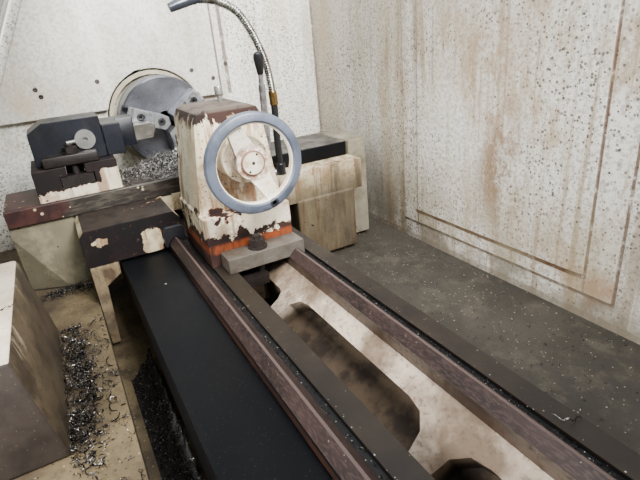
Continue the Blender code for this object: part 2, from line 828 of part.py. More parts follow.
def jaw_frame(i):
    """From jaw coordinates (x across, y along the spindle, z radial) to the world."""
    angle = JAW_ANGLE - i * 2 * math.pi / JAW_COUNT
    out = Vector((0.0, math.cos(angle), math.sin(angle)))
    along = Vector((1.0, 0.0, 0.0))
    across = along.cross(out)
    matrix = Matrix.Identity(4)
    for row in range(3):
        matrix[row][0] = across[row]
        matrix[row][1] = along[row]
        matrix[row][2] = out[row]
    return Matrix.Translation(AXIS + Vector((CHUCK_FACE_X, 0.0, 0.0))) @ matrix


def jaw_foot(grow):
    """The section of a jaw's foot in its slot: a narrow neck over a wider tongue."""
    half, neck = JAW_WIDTH / 2, JAW_WIDTH / 2 - 0.005
    return [
        (-neck - grow, 0.002 if grow else 0.0),
        (-neck - grow, -0.009 + grow),
        (-half - grow, -0.009 + grow),
        (-half - grow, -JAW_SEAT_DEPTH - grow),
        (half + grow, -JAW_SEAT_DEPTH - grow),
        (half + grow, -0.009 + grow),
        (neck + grow, -0.009 + grow),
        (neck + grow, 0.002 if grow else 0.0),
    ]


def jaw(i):
    """One chuck jaw: a foot in the slot, and a stepped top with two screws in counterbores."""
    start, end = JAW_REST_RADIUS, JAW_REST_RADIUS + JAW_LENGTH
    half = JAW_WIDTH / 2
    foot_start = CHUCK_BORE_RADIUS + 0.004
    name = "jaw_%d" % (i + 1)
    seat = GAP + 0.0007
    step, mid = 0.026, (start + end) / 2
    tip = 0.012
    outline = [
        (start + tip, seat),
        (end - 0.010, seat),
        (end, seat + 0.010),
        (end, JAW_HEIGHT - 0.014),
        (end - 0.006, JAW_HEIGHT - 0.006),
        (mid + 0.008, JAW_HEIGHT - 0.006),
        (mid + 0.008, step + 0.034),
        (mid - 0.008, step + 0.034),
        (mid - 0.008, JAW_HEIGHT),
        (start, JAW_HEIGHT),
        (start, seat + 0.024),
    ]
    top = extruded(name, [[(b, a) for a, b in outline]], "X", -half, half)
    point = extruded(
        name + "_point",
        [[(-half - 0.01, 0.0), (0.0, 0.0), (0.0, start), (-half - 0.01, start + (half + 0.01) * 0.577)]],
        "Y",
        -0.01,
        JAW_HEIGHT + 0.02,
        helper=True,
    )
    other = extruded(
        name + "_point_b",
        [[(half + 0.01, 0.0), (0.0, 0.0), (0.0, start), (half + 0.01, start + (half + 0.01) * 0.577)]],
        "Y",
        -0.01,
        JAW_HEIGHT + 0.02,
        helper=True,
    )
    foot_outline = jaw_foot(0.0)
    foot_outline[0] = (foot_outline[0][0], seat + 0.004)
    foot_outline[-1] = (foot_outline[-1][0], seat + 0.004)
    foot = extruded(name + "_foot", [foot_outline], "Z", foot_start, end - 0.010, helper=True)
    wells, screws = [], []
    for k, radial in enumerate((start + JAW_SCREW_INSET, start + JAW_SCREW_INSET + JAW_SCREW_SPACING)):
        level = JAW_HEIGHT if k == 0 else JAW_HEIGHT - 0.006
        wells.append(
            rod(
                "%s_well_%d" % (name, k),
                (0.0, level - 0.012, radial),
                (0.0, level + 0.01, radial),
                0.0095,
                20,
                helper=True,
            )
        )
        screws.append(
            turned(
                "%s_screw_%d" % (name, k),
                [
                    (level - 0.008, 0.0),
                    (level - 0.008, 0.0042),
                    (level - 0.002, 0.0042),
                    (level - 0.002, 0.0082),
                    (level - 0.014, 0.0082),
                    (level - 0.014, 0.0),
                ],
                (0.0, 0.0, radial),
                along="Y",
                steps=20,
                helper=True,
            )
        )
    for piece in [top, point, other, foot] + wells:
        piece.data.transform(jaw_frame(i))
    for piece in screws:
        bpy.context.view_layer.update()
        piece.matrix_world = jaw_frame(i) @ piece.matrix_world
    join(top, foot)
    cut(top, point, other, *wells)
    return join(top, *screws)


def saddle():
    """The saddle: two wings on the ways, a bridge with a dovetail, a rear bracket and a nut arm."""
    left = SADDLE_X - WING_LENGTH
    front = -FRONT_WING_REACH
    inner = -BED_WIDTH / 2 + V_BASE + 0.0035
    wing = [
        (front, WING_TOP - 0.012),
        (front, -FRONT_WING_DROP),
        (-BED_WIDTH / 2 - 0.0015, -FRONT_WING_DROP),
    ]
    wing += saddle_seat()
    wing += [(inner, WING_TOP - 0.016), (inner - 0.012, WING_TOP), (front + 0.010, WING_TOP)]
    casting = extruded("saddle", [placed(wing)], "X", left, SADDLE_X)

    rear_x = SADDLE_X - REAR_WING_SETBACK
    half = BED_WIDTH / 2
    rear_inner = RAIL_INNER + V_BASE + 0.004
    rear = [
        (rear_inner, 0.030),
        (rear_inner + 0.012, WAY_GAP),
        (half + 0.002, WAY_GAP),
        (half + 0.002, -0.012),
        (REAR_WING_REACH, -0.012),
        (REAR_WING_REACH, WING_TOP),
        (rear_inner, WING_TOP),
    ]
    rear_wing = extruded("saddle_rear_wing", [placed(rear)], "X", left, rear_x, helper=True)
    block = box(
        "saddle_rear_block",
        (SLIDE_LEFT_X, AXIS_Y + 0.230, WAY_LEVEL - REAR_FLOOR_DROP + 0.009),
        (rear_x + 0.004, AXIS_Y + 0.412, WAY_LEVEL - 0.006),
        helper=True,
        bevel=0.006,
    )
    bridge = box(
        "saddle_bridge",
        (SLIDE_LEFT_X - BRIDGE_MARGIN, AXIS_Y + inner - 0.02, WAY_LEVEL + BRIDGE_UNDER),
        (SLIDE_RIGHT_X + BRIDGE_MARGIN, AXIS_Y + rear_inner + 0.02, WAY_LEVEL + WING_TOP - 0.0005),
        helper=True,
    )
    rail = [
        (SLIDE_MID_X - DOVETAIL_BASE / 2, WING_TOP - 0.010),
        (SLIDE_MID_X - DOVETAIL_BASE / 2, WING_TOP),
        (SLIDE_MID_X - DOVETAIL_BASE / 2 - DOVETAIL_FLARE, WING_TOP + DOVETAIL_HEIGHT),
        (SLIDE_MID_X + DOVETAIL_BASE / 2 + DOVETAIL_FLARE, WING_TOP + DOVETAIL_HEIGHT),
        (SLIDE_MID_X + DOVETAIL_BASE / 2, WING_TOP),
        (SLIDE_MID_X + DOVETAIL_BASE / 2, WING_TOP - 0.010),
    ]
    dovetail = extruded(
        "saddle_dovetail",
        [placed(rail, across=0.0)],
        "Y",
        AXIS_Y - FRONT_WING_REACH + 0.010,
        AXIS_Y + REAR_WING_REACH - 0.006,
        helper=True,
    )
    arm = [
        (-0.302, -0.004),
        (-0.302, -0.205),
        (-0.288, -0.205),
        (-0.288, -0.135),
        (-0.150, -0.135),
        (-0.150, -Z_SCREW_DROP + 0.032),
        (-0.220, -Z_SCREW_DROP + 0.032),
        (-0.220, -0.110),
        (-0.262, -0.110),
        (-0.262, -0.004),
    ]
    nut_arm = extruded(
        "saddle_nut_arm", [placed(arm)], "X", SLIDE_MID_X - 0.040, SLIDE_MID_X + 0.040, helper=True
    )
    skirt = [
        (-0.302, -0.004),
        (-0.302, -0.205),
        (-0.284, -0.205),
        (-0.278, -0.062),
        (-0.244, -0.040),
        (-0.244, -0.004),
    ]
    plate = extruded(
        "saddle_skirt", [placed(skirt)], "X", SADDLE_X - 0.008, SADDLE_X - 0.002, helper=True
    )
    join(casting, rear_wing, bridge, block, dovetail, nut_arm, plate)

    channel = box(
        "saddle_screw_channel",
        (SLIDE_MID_X - CHANNEL_WIDTH / 2, AXIS_Y - 0.280, WAY_LEVEL + X_SCREW_LEVEL - 0.015),
        (SLIDE_MID_X + CHANNEL_WIDTH / 2, AXIS_Y + REAR_WING_REACH + 0.01, WAY_LEVEL + WING_TOP + 0.03),
        helper=True,
    )
    bearing = rod(
        "saddle_screw_bearing",
        (SLIDE_MID_X, AXIS_Y - 0.2955, WAY_LEVEL + X_SCREW_LEVEL),
        (SLIDE_MID_X, AXIS_Y - 0.270, WAY_LEVEL + X_SCREW_LEVEL),
        X_SCREW_RADIUS + WAY_GAP,
        helper=True,
    )
    nut_hole = rod(
        "saddle_nut_bore",
        (SLIDE_MID_X - 0.06, AXIS_Y - Z_SCREW_REACH, WAY_LEVEL - Z_SCREW_DROP),
        (SLIDE_MID_X + 0.06, AXIS_Y - Z_SCREW_REACH, WAY_LEVEL - Z_SCREW_DROP),
        Z_SCREW_RADIUS + WAY_GAP,
        TURN_STEPS,
        helper=True,
    )
    socket = rod(
        "saddle_pipe_socket",
        (PIPE_X, AXIS_Y + PIPE_REACH, WAY_LEVEL + WING_TOP - 0.012),
        (PIPE_X, AXIS_Y + PIPE_REACH, WAY_LEVEL + WING_TOP + 0.02),
        PIPE_BASE_RADIUS + GAP,
        24,
        helper=True,
    )
    return cut(casting, channel, bearing, nut_hole, socket)


def saddle_guard():
    """The folded chip guard at the saddle's front edge, with its corner bent back and a side flange."""
    x = SADDLE_X - GUARD_SETBACK
    inner = AXIS_Y - FRONT_WING_REACH - GAP
    outer = AXIS_Y - GUARD_REACH
    top = WAY_LEVEL + WING_TOP - GAP
    low = WAY_LEVEL - 0.098
    under = WAY_LEVEL - FRONT_WING_DROP
    points = [
        (x, inner, top),
        (x, outer, top),
        (x, outer, WAY_LEVEL + 0.046),
        (x, AXIS_Y - 0.355, low),
        (x, inner, low),
        (x, inner, under),
        (x - 0.036, outer, low),
        (x - 0.022, inner, under),
        (x - 0.022, inner, top),
    ]
    mesh = bpy.data.meshes.new("saddle_guard")
    mesh.from_pydata(points, [], [(0, 1, 2, 3, 4, 5), (2, 6, 3), (0, 5, 7, 8)])
    guard = new_object("saddle_guard", mesh)
    shell = guard.modifiers.new("sheet", "SOLIDIFY")
    shell.thickness = SHEET
    shell.offset = -1.0
    shell.use_even_offset = True
    return guard


def x_motor_cover():
    """The box over the cross screw's motor, at the back of the saddle."""
    near, far = AXIS_Y + REAR_WING_REACH + GAP, AXIS_Y + MOTOR_COVER_REACH
    cover = box(
        "x_motor_cover",
        (SLIDE_LEFT_X - 0.005, near, WAY_LEVEL - REAR_FLOOR_DROP + 0.009),
        (SLIDE_RIGHT_X + 0.005, far, WAY_LEVEL + SLIDE_TOP),
        bevel=0.004,
    )
    seat = rod(
        "x_motor_seat",
        (SLIDE_MID_X, near - 0.01, WAY_LEVEL + X_SCREW_LEVEL),
        (SLIDE_MID_X, near + 0.020, WAY_LEVEL + X_SCREW_LEVEL),
        X_SCREW_RADIUS + WAY_GAP,
        helper=True,
    )
    return cut(cover, seat)


def curve_through(points, steps):
    """Points on a smooth curve through the given ones, each span from its two neighbours' slopes."""
    points = [Vector(p) for p in points]
    points = [2 * points[0] - points[1]] + points + [2 * points[-1] - points[-2]]
    found = []
    for a, b, c, d in zip(points, points[1:], points[2:], points[3:]):
        for i in range(steps):
            t = i / steps
            found.append(
                0.5 * (2 * b + (c - a) * t + (2 * a - 5 * b + 4 * c - d) * t**2 + (3 * b - a - 3 * c + d) * t**3)
            )
    return found + [points[-2]]


def coolant_pipe():
    """The flexible metal pipe, with its foot in the saddle and its nozzle over the work."""
    route = [
        (PIPE_REACH, 0.075),
        (PIPE_REACH, 0.170),
        (0.206, 0.267),
        (0.193, 0.365),
        (0.151, 0.455),
        (0.105, 0.488),
        (0.055, 0.497),
        (0.012, 0.489),
    ]
    points = [(PIPE_X, AXIS_Y + y, WAY_LEVEL + z) for y, z in route]
    pipe = tube("coolant_pipe", curve_through(points, 3), PIPE_RADIUS, 2)
    foot = rod(
        "coolant_pipe_foot",
        (PIPE_X, AXIS_Y + PIPE_REACH, WAY_LEVEL + WING_TOP - 0.0117),
        (PIPE_X, AXIS_Y + PIPE_REACH, WAY_LEVEL + WING_TOP + 0.030),
        PIPE_BASE_RADIUS,
        helper=True,
    )
    nozzle = rod(
        "coolant_pipe_nozzle",
        (PIPE_X, AXIS_Y + 0.022, WAY_LEVEL + 0.4915),
        (PIPE_X, AXIS_Y - 0.008, WAY_LEVEL + 0.483),
        PIPE_RADIUS + 0.003,
        end_radius=PIPE_RADIUS,
        helper=True,
    )
    return join(pipe, foot, nozzle)


def x_screw():
    return rod(
        "x_screw",
        (SLIDE_MID_X, AXIS_Y - 0.295, WAY_LEVEL + X_SCREW_LEVEL),
        (SLIDE_MID_X, AXIS_Y + REAR_WING_REACH + 0.018, WAY_LEVEL + X_SCREW_LEVEL),
        X_SCREW_RADIUS,
    )


def dovetail_half(level):
    """Half the width of the slide's groove at a height over the saddle."""
    return DOVETAIL_BASE / 2 + DOVETAIL_FLARE * level / DOVETAIL_HEIGHT + WAY_GAP


def cross_slide():
    """The cross slide: a block with the female dovetail and the cross screw's nut."""
    floor, groove = WING_TOP + GAP, WING_TOP + DOVETAIL_HEIGHT + WAY_GAP
    low, high = dovetail_half(GAP), dovetail_half(DOVETAIL_HEIGHT + WAY_GAP)
    outline = [
        (SLIDE_LEFT_X, floor),
        (SLIDE_MID_X - low, floor),
        (SLIDE_MID_X - high, groove),
        (SLIDE_MID_X + high, groove),
        (SLIDE_MID_X + low, floor),
        (SLIDE_RIGHT_X, floor),
        (SLIDE_RIGHT_X, SLIDE_TOP - 0.003),
        (SLIDE_RIGHT_X - 0.003, SLIDE_TOP),
        (SLIDE_LEFT_X + 0.003, SLIDE_TOP),
        (SLIDE_LEFT_X, SLIDE_TOP - 0.003),
    ]
    slide = extruded(
        "cross_slide",
        [placed(outline, across=0.0)],
        "Y",
        AXIS_Y - SLIDE_FRONT_REACH,
        AXIS_Y + SLIDE_SPLIT,
    )
    nut = box(
        "cross_slide_nut",
        (SLIDE_MID_X - 0.0165, AXIS_Y - 0.160, WAY_LEVEL + X_SCREW_LEVEL - 0.0125),
        (SLIDE_MID_X + 0.0165, AXIS_Y - 0.100, WAY_LEVEL + groove + 0.004),
        helper=True,
    )
    thread = rod(
        "cross_slide_thread",
        (SLIDE_MID_X, AXIS_Y - 0.20, WAY_LEVEL + X_SCREW_LEVEL),
        (SLIDE_MID_X, AXIS_Y - 0.06, WAY_LEVEL + X_SCREW_LEVEL),
        X_SCREW_RADIUS + WAY_GAP,
        helper=True,
    )
    return cut(join(slide, nut), thread)


def slide_cover():
    """The sheet cover over the slide's rear half, open underneath."""
    wall = 0.005
    floor = WING_TOP + GAP
    outline = [
        (SLIDE_LEFT_X, floor),
        (SLIDE_LEFT_X + wall, floor),
        (SLIDE_LEFT_X + wall, SLIDE_TOP - wall),
        (SLIDE_RIGHT_X - wall, SLIDE_TOP - wall),
        (SLIDE_RIGHT_X - wall, floor),
        (SLIDE_RIGHT_X, floor),
        (SLIDE_RIGHT_X, SLIDE_TOP - 0.002),
        (SLIDE_RIGHT_X - 0.002, SLIDE_TOP),
        (SLIDE_LEFT_X, SLIDE_TOP),
    ]
    return extruded(
        "slide_cover",
        [placed(outline, across=0.0)],
        "Y",
        AXIS_Y + SLIDE_SPLIT + GAP,
        AXIS_Y + SLIDE_COVER_END,
    )


def tool_post_base():
    """The tool post's base, with a T-slot along the bed."""
    middle = -(POST_FRONT + POST_REAR) / 2
    floor, top = SLIDE_TOP + GAP, POST_TOP
    lip, deep = top - SLOT_LIP, top - SLOT_FLOOR
    outline = [
        (-POST_FRONT, floor),
        (-POST_REAR, floor),
        (-POST_REAR, top),
        (middle + SLOT_NARROW / 2, top),
        (middle + SLOT_NARROW / 2, lip),
        (middle + SLOT_WIDE / 2, lip),
        (middle + SLOT_WIDE / 2, deep),
        (middle - SLOT_WIDE / 2, deep),
        (middle - SLOT_WIDE / 2, lip),
        (middle - SLOT_NARROW / 2, lip),
        (middle - SLOT_NARROW / 2, top),
        (-POST_FRONT, top),
    ]
    return broken(
        extruded("tool_post_base", [placed(outline)], "X", SLIDE_RIGHT_X - POST_DEPTH, SLIDE_RIGHT_X - GAP),
        0.0012,
        1,
        60,
    )


def hexagon(centre, across):
    return circle(centre, across / 2 / math.cos(math.pi / 6), 6, math.pi / 6)


def clamp_plate():
    """The strap that clamps the tool block in the T-slot, with its bolt hole."""
    plate = box(
        "clamp_plate",
        (CLAMP_X - 0.0175, AXIS_Y - 0.333, WAY_LEVEL + POST_TOP + GAP),
        (CLAMP_X + 0.0175, AXIS_Y - 0.218, WAY_LEVEL + POST_TOP + CLAMP_THICKNESS),
        bevel=0.003,
    )
    middle = -(POST_FRONT + POST_REAR) / 2
    hole = rod(
        "clamp_plate_hole",
        (CLAMP_X, AXIS_Y + middle, WAY_LEVEL + POST_TOP - 0.01),
        (CLAMP_X, AXIS_Y + middle, WAY_LEVEL + POST_TOP + 0.04),
        0.0084,
        helper=True,
    )
    return cut(plate, hole)


def tool_clamp_bolt():
    """The T-bolt, washer and nut of the strap."""
    middle = -(POST_FRONT + POST_REAR) / 2
    centre = (CLAMP_X, AXIS_Y + middle)
    base = WAY_LEVEL + POST_TOP + CLAMP_THICKNESS + GAP
    bolt = rod("tool_clamp_bolt", (*centre, base - 0.060), (*centre, base + 0.020), 0.008)
    washer = rod("tool_clamp_washer", (*centre, base), (*centre, base + 0.004), 0.017, helper=True)
    nut = extruded(
        "tool_clamp_nut", [hexagon(centre, 0.027)], "Z", base + 0.0035, base + 0.0145, helper=True
    )
    head = box(
        "tool_clamp_head",
        (CLAMP_X - 0.016, AXIS_Y + middle - SLOT_WIDE / 2 + 0.002, WAY_LEVEL + POST_TOP - SLOT_FLOOR + GAP),
        (CLAMP_X + 0.016, AXIS_Y + middle + SLOT_WIDE / 2 - 0.002, WAY_LEVEL + POST_TOP - SLOT_LIP - GAP),
        helper=True,
    )
    return join(bolt, washer, nut, head)


def tool_block():
    """The quick-change block, with the cam's bore."""
    floor, top = POST_TOP + GAP, POST_TOP + BLOCK_HEIGHT
    outline = [
        (-BLOCK_FRONT, floor),
        (-BLOCK_REAR, floor),
        (-BLOCK_REAR, top),
        (-BLOCK_FRONT + 0.033, top),
        (-BLOCK_FRONT, top - 0.020),
    ]
    block = extruded("tool_block", [placed(outline)], "X", BLOCK_X - BLOCK_DEPTH, BLOCK_X)
    broken(block, 0.002, 1, 60)
    bore = rod(
        "tool_block_bore",
        (BLOCK_X - 0.032, *KNOB_PLACE),
        (BLOCK_X + 0.01, *KNOB_PLACE),
        0.009 + WAY_GAP,
        helper=True,
    )
    return cut(block, bore)


def cam_knob():
    """The cam that locks the holder: a knob on a shaft, with its cross pin."""
    knob = rod("cam_knob", (BLOCK_X + GAP, *KNOB_PLACE), (BLOCK_X + 0.010, *KNOB_PLACE), KNOB_RADIUS, 32)
    shaft = rod(
        "cam_knob_shaft", (BLOCK_X - 0.030, *KNOB_PLACE), (BLOCK_X + 0.005, *KNOB_PLACE), 0.009, helper=True
    )
    middle = BLOCK_X + 0.0055
    pin = rod(
        "cam_knob_pin",
        (middle, KNOB_PLACE[0], KNOB_PLACE[1]),
        (middle, KNOB_PLACE[0] - KNOB_RADIUS - 0.018, KNOB_PLACE[1] - 0.002),
        0.004,
        16,
        helper=True,
    )
    socket = extruded(
        "cam_knob_socket", [hexagon(KNOB_PLACE, 0.010)], "X", BLOCK_X + 0.004, BLOCK_X + 0.02, helper=True
    )
    return cut(join(knob, shaft, pin), socket)


def tool_holder():
    """The holder that the block carries: an L in plan, with a groove for the tool bar."""
    left, right = BLOCK_X - BLOCK_DEPTH - 0.035, BLOCK_X
    step = left + 0.052
    outline = [
        (left, AXIS_Y - BLOCK_REAR + GAP),
        (right, AXIS_Y - BLOCK_REAR + GAP),
        (right, AXIS_Y - 0.154),
        (step, AXIS_Y - 0.154),
        (step, AXIS_Y - 0.113),
        (left, AXIS_Y - 0.113),
    ]
    low, high = WAY_LEVEL + POST_TOP + GAP, WAY_LEVEL + POST_TOP + HOLDER_HEIGHT
    holder = extruded("tool_holder", [outline], "Z", low, high)
    broken(holder, 0.0015, 1, 60)
    groove = box(
        "tool_holder_groove",
        (left - 0.01, AXIS_Y - BLOCK_REAR + 0.010, TOOL_LOW - GAP),
        (left + TOOL_SIZE + GAP, AXIS_Y - 0.10, TOOL_LOW + TOOL_SIZE + GAP),
        helper=True,
    )
    return cut(holder, groove)


def tool_bar():
    """The square tool in its holder, stepped to the cutting tip."""
    left = BLOCK_X - BLOCK_DEPTH - 0.035
    front, tip = AXIS_Y - BLOCK_REAR + 0.0103, AXIS_Y - TOOL_REACH
    low, high = TOOL_LOW, TOOL_LOW + TOOL_SIZE
    outline = [
        (front, low),
        (tip - 0.012, low),
        (tip - 0.002, high - 0.016),
        (tip, high - 0.004),
        (tip - 0.006, high - 0.004),
        (tip - 0.010, high),
        (front, high),
    ]
    return extruded("tool_bar", [outline], "X", left, left + TOOL_SIZE)


def tailstock_body():
    """The tailstock casting: a base on the ways, a tapering body, two bosses and the quill's bore."""
    floor = 0.001
    half_top, half_low = TAIL_TOP_WIDTH / 2, TAIL_WAIST_WIDTH / 2
    outline = [(-TAIL_BASE_FRONT, WAY_GAP), (-RAIL_INNER + 0.001, WAY_GAP), (-RAIL_INNER + 0.001, 0.030)]
    outline += [(RAIL_INNER - 0.010, 0.030), (RAIL_INNER - 0.010, floor)]
    outline += v_roof(RAIL_INNER, floor)
    foot = [(TAIL_BASE_REAR, floor), (TAIL_BASE_REAR, TAIL_BASE_HEIGHT)]
    top = [
        (half_low, TAIL_BASE_HEIGHT + 0.004),
        (half_low - 0.003, 0.137),
        (half_top + 0.001, TAIL_TOP - 0.020),
        (half_top - 0.006, TAIL_TOP - 0.006),
        (half_top - 0.020, TAIL_TOP),
        (-half_top + 0.020, TAIL_TOP),
        (-half_top + 0.006, TAIL_TOP - 0.006),
        (-half_top - 0.001, TAIL_TOP - 0.020),
        (-half_low + 0.003, 0.137),
        (-half_low, TAIL_BASE_HEIGHT + 0.004),
        (-TAIL_BASE_FRONT, TAIL_BASE_HEIGHT),
    ]
    body_outline = outline + foot + top
    casting = extruded(
        "tailstock_body", [placed(body_outline)], "X", TAIL_X, TAIL_X + TAIL_BODY_LENGTH
    )
    low = [(y, z) for y, z in outline + foot] + [(-TAIL_BASE_FRONT, TAIL_BASE_HEIGHT)]
    low[-2] = (TAIL_BASE_REAR, TAIL_BASE_HEIGHT - 0.001)
    low[-1] = (-TAIL_BASE_FRONT, TAIL_BASE_HEIGHT - 0.001)
    base = extruded(
        "tailstock_base",
        [placed([(y, max(z, WAY_GAP + 0.0002) if z < 0.02 and z > 0 else z) for y, z in low])],
        "X",
        TAIL_X + TAIL_BODY_LENGTH - 0.02,
        TAIL_X + TAIL_BASE_LENGTH,
        helper=True,
    )
    nose = rod(
        "tailstock_nose",
        (TAIL_X - 0.011, AXIS_Y, AXIS_Z),
        (TAIL_X + 0.02, AXIS_Y, AXIS_Z),
        NOSE_RADIUS,
        40,
        helper=True,
    )
    tail_end = TAIL_X + TAIL_BODY_LENGTH + REAR_BOSS_LENGTH
    boss = rod(
        "tailstock_boss",
        (TAIL_X + TAIL_BODY_LENGTH - 0.02, AXIS_Y, AXIS_Z),
        (tail_end, AXIS_Y, AXIS_Z),
        REAR_BOSS_RADIUS,
        40,
        helper=True,
    )
    join(casting, base, nose, boss)
    bore = rod(
        "tailstock_bore",
        (TAIL_X - 0.05, AXIS_Y, AXIS_Z),
        (TAIL_X + TAIL_BODY_LENGTH, AXIS_Y, AXIS_Z),
        QUILL_RADIUS + WAY_GAP,
        TURN_STEPS,
        helper=True,
    )
    passage = rod(
        "tailstock_screw_bearing",
        (TAIL_X + 0.05, AXIS_Y, AXIS_Z),
        (tail_end + 0.02, AXIS_Y, AXIS_Z),
        TAIL_SCREW_RADIUS + WAY_GAP,
        TURN_STEPS,
        helper=True,
    )
    pivot = rod(
        "tailstock_lever_bore",
        (LEVER_X, AXIS_Y + 0.050, LEVER_Z),
        (LEVER_X, AXIS_Y + 0.120, LEVER_Z),
        0.010 + WAY_GAP,
        helper=True,
    )
    lock = rod(
        "tailstock_lock_bore",
        (LOCK_X, LOCK_Y, WAY_LEVEL + TAIL_TOP - 0.030),
        (LOCK_X, LOCK_Y, WAY_LEVEL + TAIL_TOP + 0.02),
        0.005 + WAY_GAP,
        helper=True,
    )
    return cut(casting, bore, passage, pivot, lock)


def clamp_slab():
    """The clamping slab behind the tailstock, with its V and its bolt hole."""
    outline = [(-0.070, WAY_GAP)] + v_roof(RAIL_INNER, WAY_GAP)
    outline += [(0.090, WAY_GAP), (0.090, SLAB_HEIGHT), (-0.070, SLAB_HEIGHT)]
    left = TAIL_X + TAIL_BASE_LENGTH + GAP
    slab = extruded("clamp_slab", [placed(outline)], "X", left, left + SLAB_LENGTH)
    hole = rod(
        "clamp_slab_hole",
        (SLAB_BOLT_X, AXIS_Y, WAY_LEVEL - 0.02),
        (SLAB_BOLT_X, AXIS_Y, WAY_LEVEL + SLAB_HEIGHT + 0.02),
        0.0084,
        helper=True,
    )
    return cut(slab, hole)


def clamp_bolt():
    """The bolt, nut and washer that pull the slab down, with the shoe under the front rail."""
    centre = (SLAB_BOLT_X, AXIS_Y)
    top = WAY_LEVEL + SLAB_HEIGHT + GAP
    shoe = [
        (-0.078, -0.0290 - GAP),
        (-RAIL_INNER, -RAIL_THICKNESS - GAP),
        (0.008, -RAIL_THICKNESS - GAP),
        (0.008, -0.043),
        (-0.078, -0.043),
    ]
    bolt = extruded("clamp_bolt", [placed(shoe)], "X", SLAB_BOLT_X - 0.020, SLAB_BOLT_X + 0.020)
    stud = rod("clamp_bolt_stud", (*centre, WAY_LEVEL - 0.030), (*centre, top + 0.026), 0.008, helper=True)
    washer = rod("clamp_bolt_washer", (*centre, top), (*centre, top + 0.004), 0.019, helper=True)
    nut = extruded("clamp_bolt_nut", [hexagon(centre, 0.028)], "Z", top + 0.0035, top + 0.019, helper=True)
    return join(bolt, stud, washer, nut)


def quill():
    """The quill: a hollow bar with a taper mouth and the screw's bore behind."""
    left = TAIL_X + TAIL_BODY_LENGTH - 0.010 - QUILL_LENGTH - 0.016
    right = TAIL_X + TAIL_BODY_LENGTH - 0.010
    profile = [
        (right, TAIL_SCREW_RADIUS + WAY_GAP),
        (right, QUILL_RADIUS),
        (left + 0.002, QUILL_RADIUS),
        (left, QUILL_RADIUS - 0.002),
        (left, 0.016),
        (left + 0.035, 0.014),
        (left + 0.035, TAIL_SCREW_RADIUS + WAY_GAP),
    ]
    return turned("quill", profile, AXIS, closed=True)


def tailstock_screw():
    """The quill's screw, with the cap that holds the handwheel on."""
    cap = TAIL_X + TAIL_BODY_LENGTH + REAR_BOSS_LENGTH + WHEEL_DISH + 0.002
    profile = [
        (cap + 0.005, 0.0),
        (cap + 0.005, 0.0205),
        (cap + 0.003, 0.0225),
        (cap + GAP, 0.0225),
        (cap + GAP, TAIL_SCREW_RADIUS),
        (TAIL_X + 0.022, TAIL_SCREW_RADIUS),
        (TAIL_X + 0.022, 0.0),
    ]
    return turned("tailstock_screw", profile, AXIS, steps=TURN_STEPS)


def handwheel():
    """The dished handwheel: a rounded rim, a hub and two opposed spokes that widen to the hub."""
    start = TAIL_X + TAIL_BODY_LENGTH + REAR_BOSS_LENGTH + 0.001
    hub_end = start + WHEEL_DISH
    near, far = start + WHEEL_DISH + 0.020, start + WHEEL_DISH
    low, high = WHEEL_INNER_RADIUS, WHEEL_RADIUS
    corner = 0.005
    rim_profile = [
        (near, low + corner),
        (near, high - corner),
        (near - corner / 3, high - corner / 3),
        (near - corner, high),
        (far + corner, high),
        (far + corner / 3, high - corner / 3),
        (far, high - corner),
        (far, low + corner),
        (far + corner, low),
        (near - corner, low),
    ]
    wheel = turned("handwheel", rim_profile, AXIS, steps=40, closed=True)
    spokes = []
    for k in range(2):
        angle = SPOKE_ANGLE + k * math.pi
        out = Vector((math.cos(angle), math.sin(angle)))
        side = Vector((-out.y, out.x))
        centre = Vector((AXIS_Y, AXIS_Z))
        corners = [out * 0.012 + side * 0.021, out * 0.012 - side * 0.021]
        corners += [out * (low + 0.006) - side * 0.012, out * (low + 0.006) + side * 0.012]
        outline = [tuple(centre + c) for c in corners]
        spoke = extruded("handwheel_spoke_%d" % k, [outline], "X", far - 0.016, far - 0.003, helper=True)
        for vertex in spoke.data.vertices:
            reach = (Vector((vertex.co.y, vertex.co.z)) - centre).length
            vertex.co.x += WHEEL_DISH * 0.45 * (reach - 0.024) / (low - 0.018)
        spokes.append(spoke)
    hub = rod("handwheel_hub", (start, AXIS_Y, AXIS_Z), (hub_end + 0.001, AXIS_Y, AXIS_Z), HUB_RADIUS, 40, helper=True)
    bore = rod(
        "handwheel_bore",
        (start - 0.02, AXIS_Y, AXIS_Z),
        (near + 0.02, AXIS_Y, AXIS_Z),
        TAIL_SCREW_RADIUS + GAP,
        TURN_STEPS,
        helper=True,
    )
    middle = (low + high) / 2
    handle = (AXIS_Y + middle * math.cos(HANDLE_ANGLE), AXIS_Z + middle * math.sin(HANDLE_ANGLE))
    handle_hole = rod(
        "handwheel_handle_hole", (near - 0.012, *handle), (near + 0.01, *handle), 0.005, 16, helper=True
    )
    join(wheel, hub, *spokes)
    return cut(wheel, bore, handle_hole)


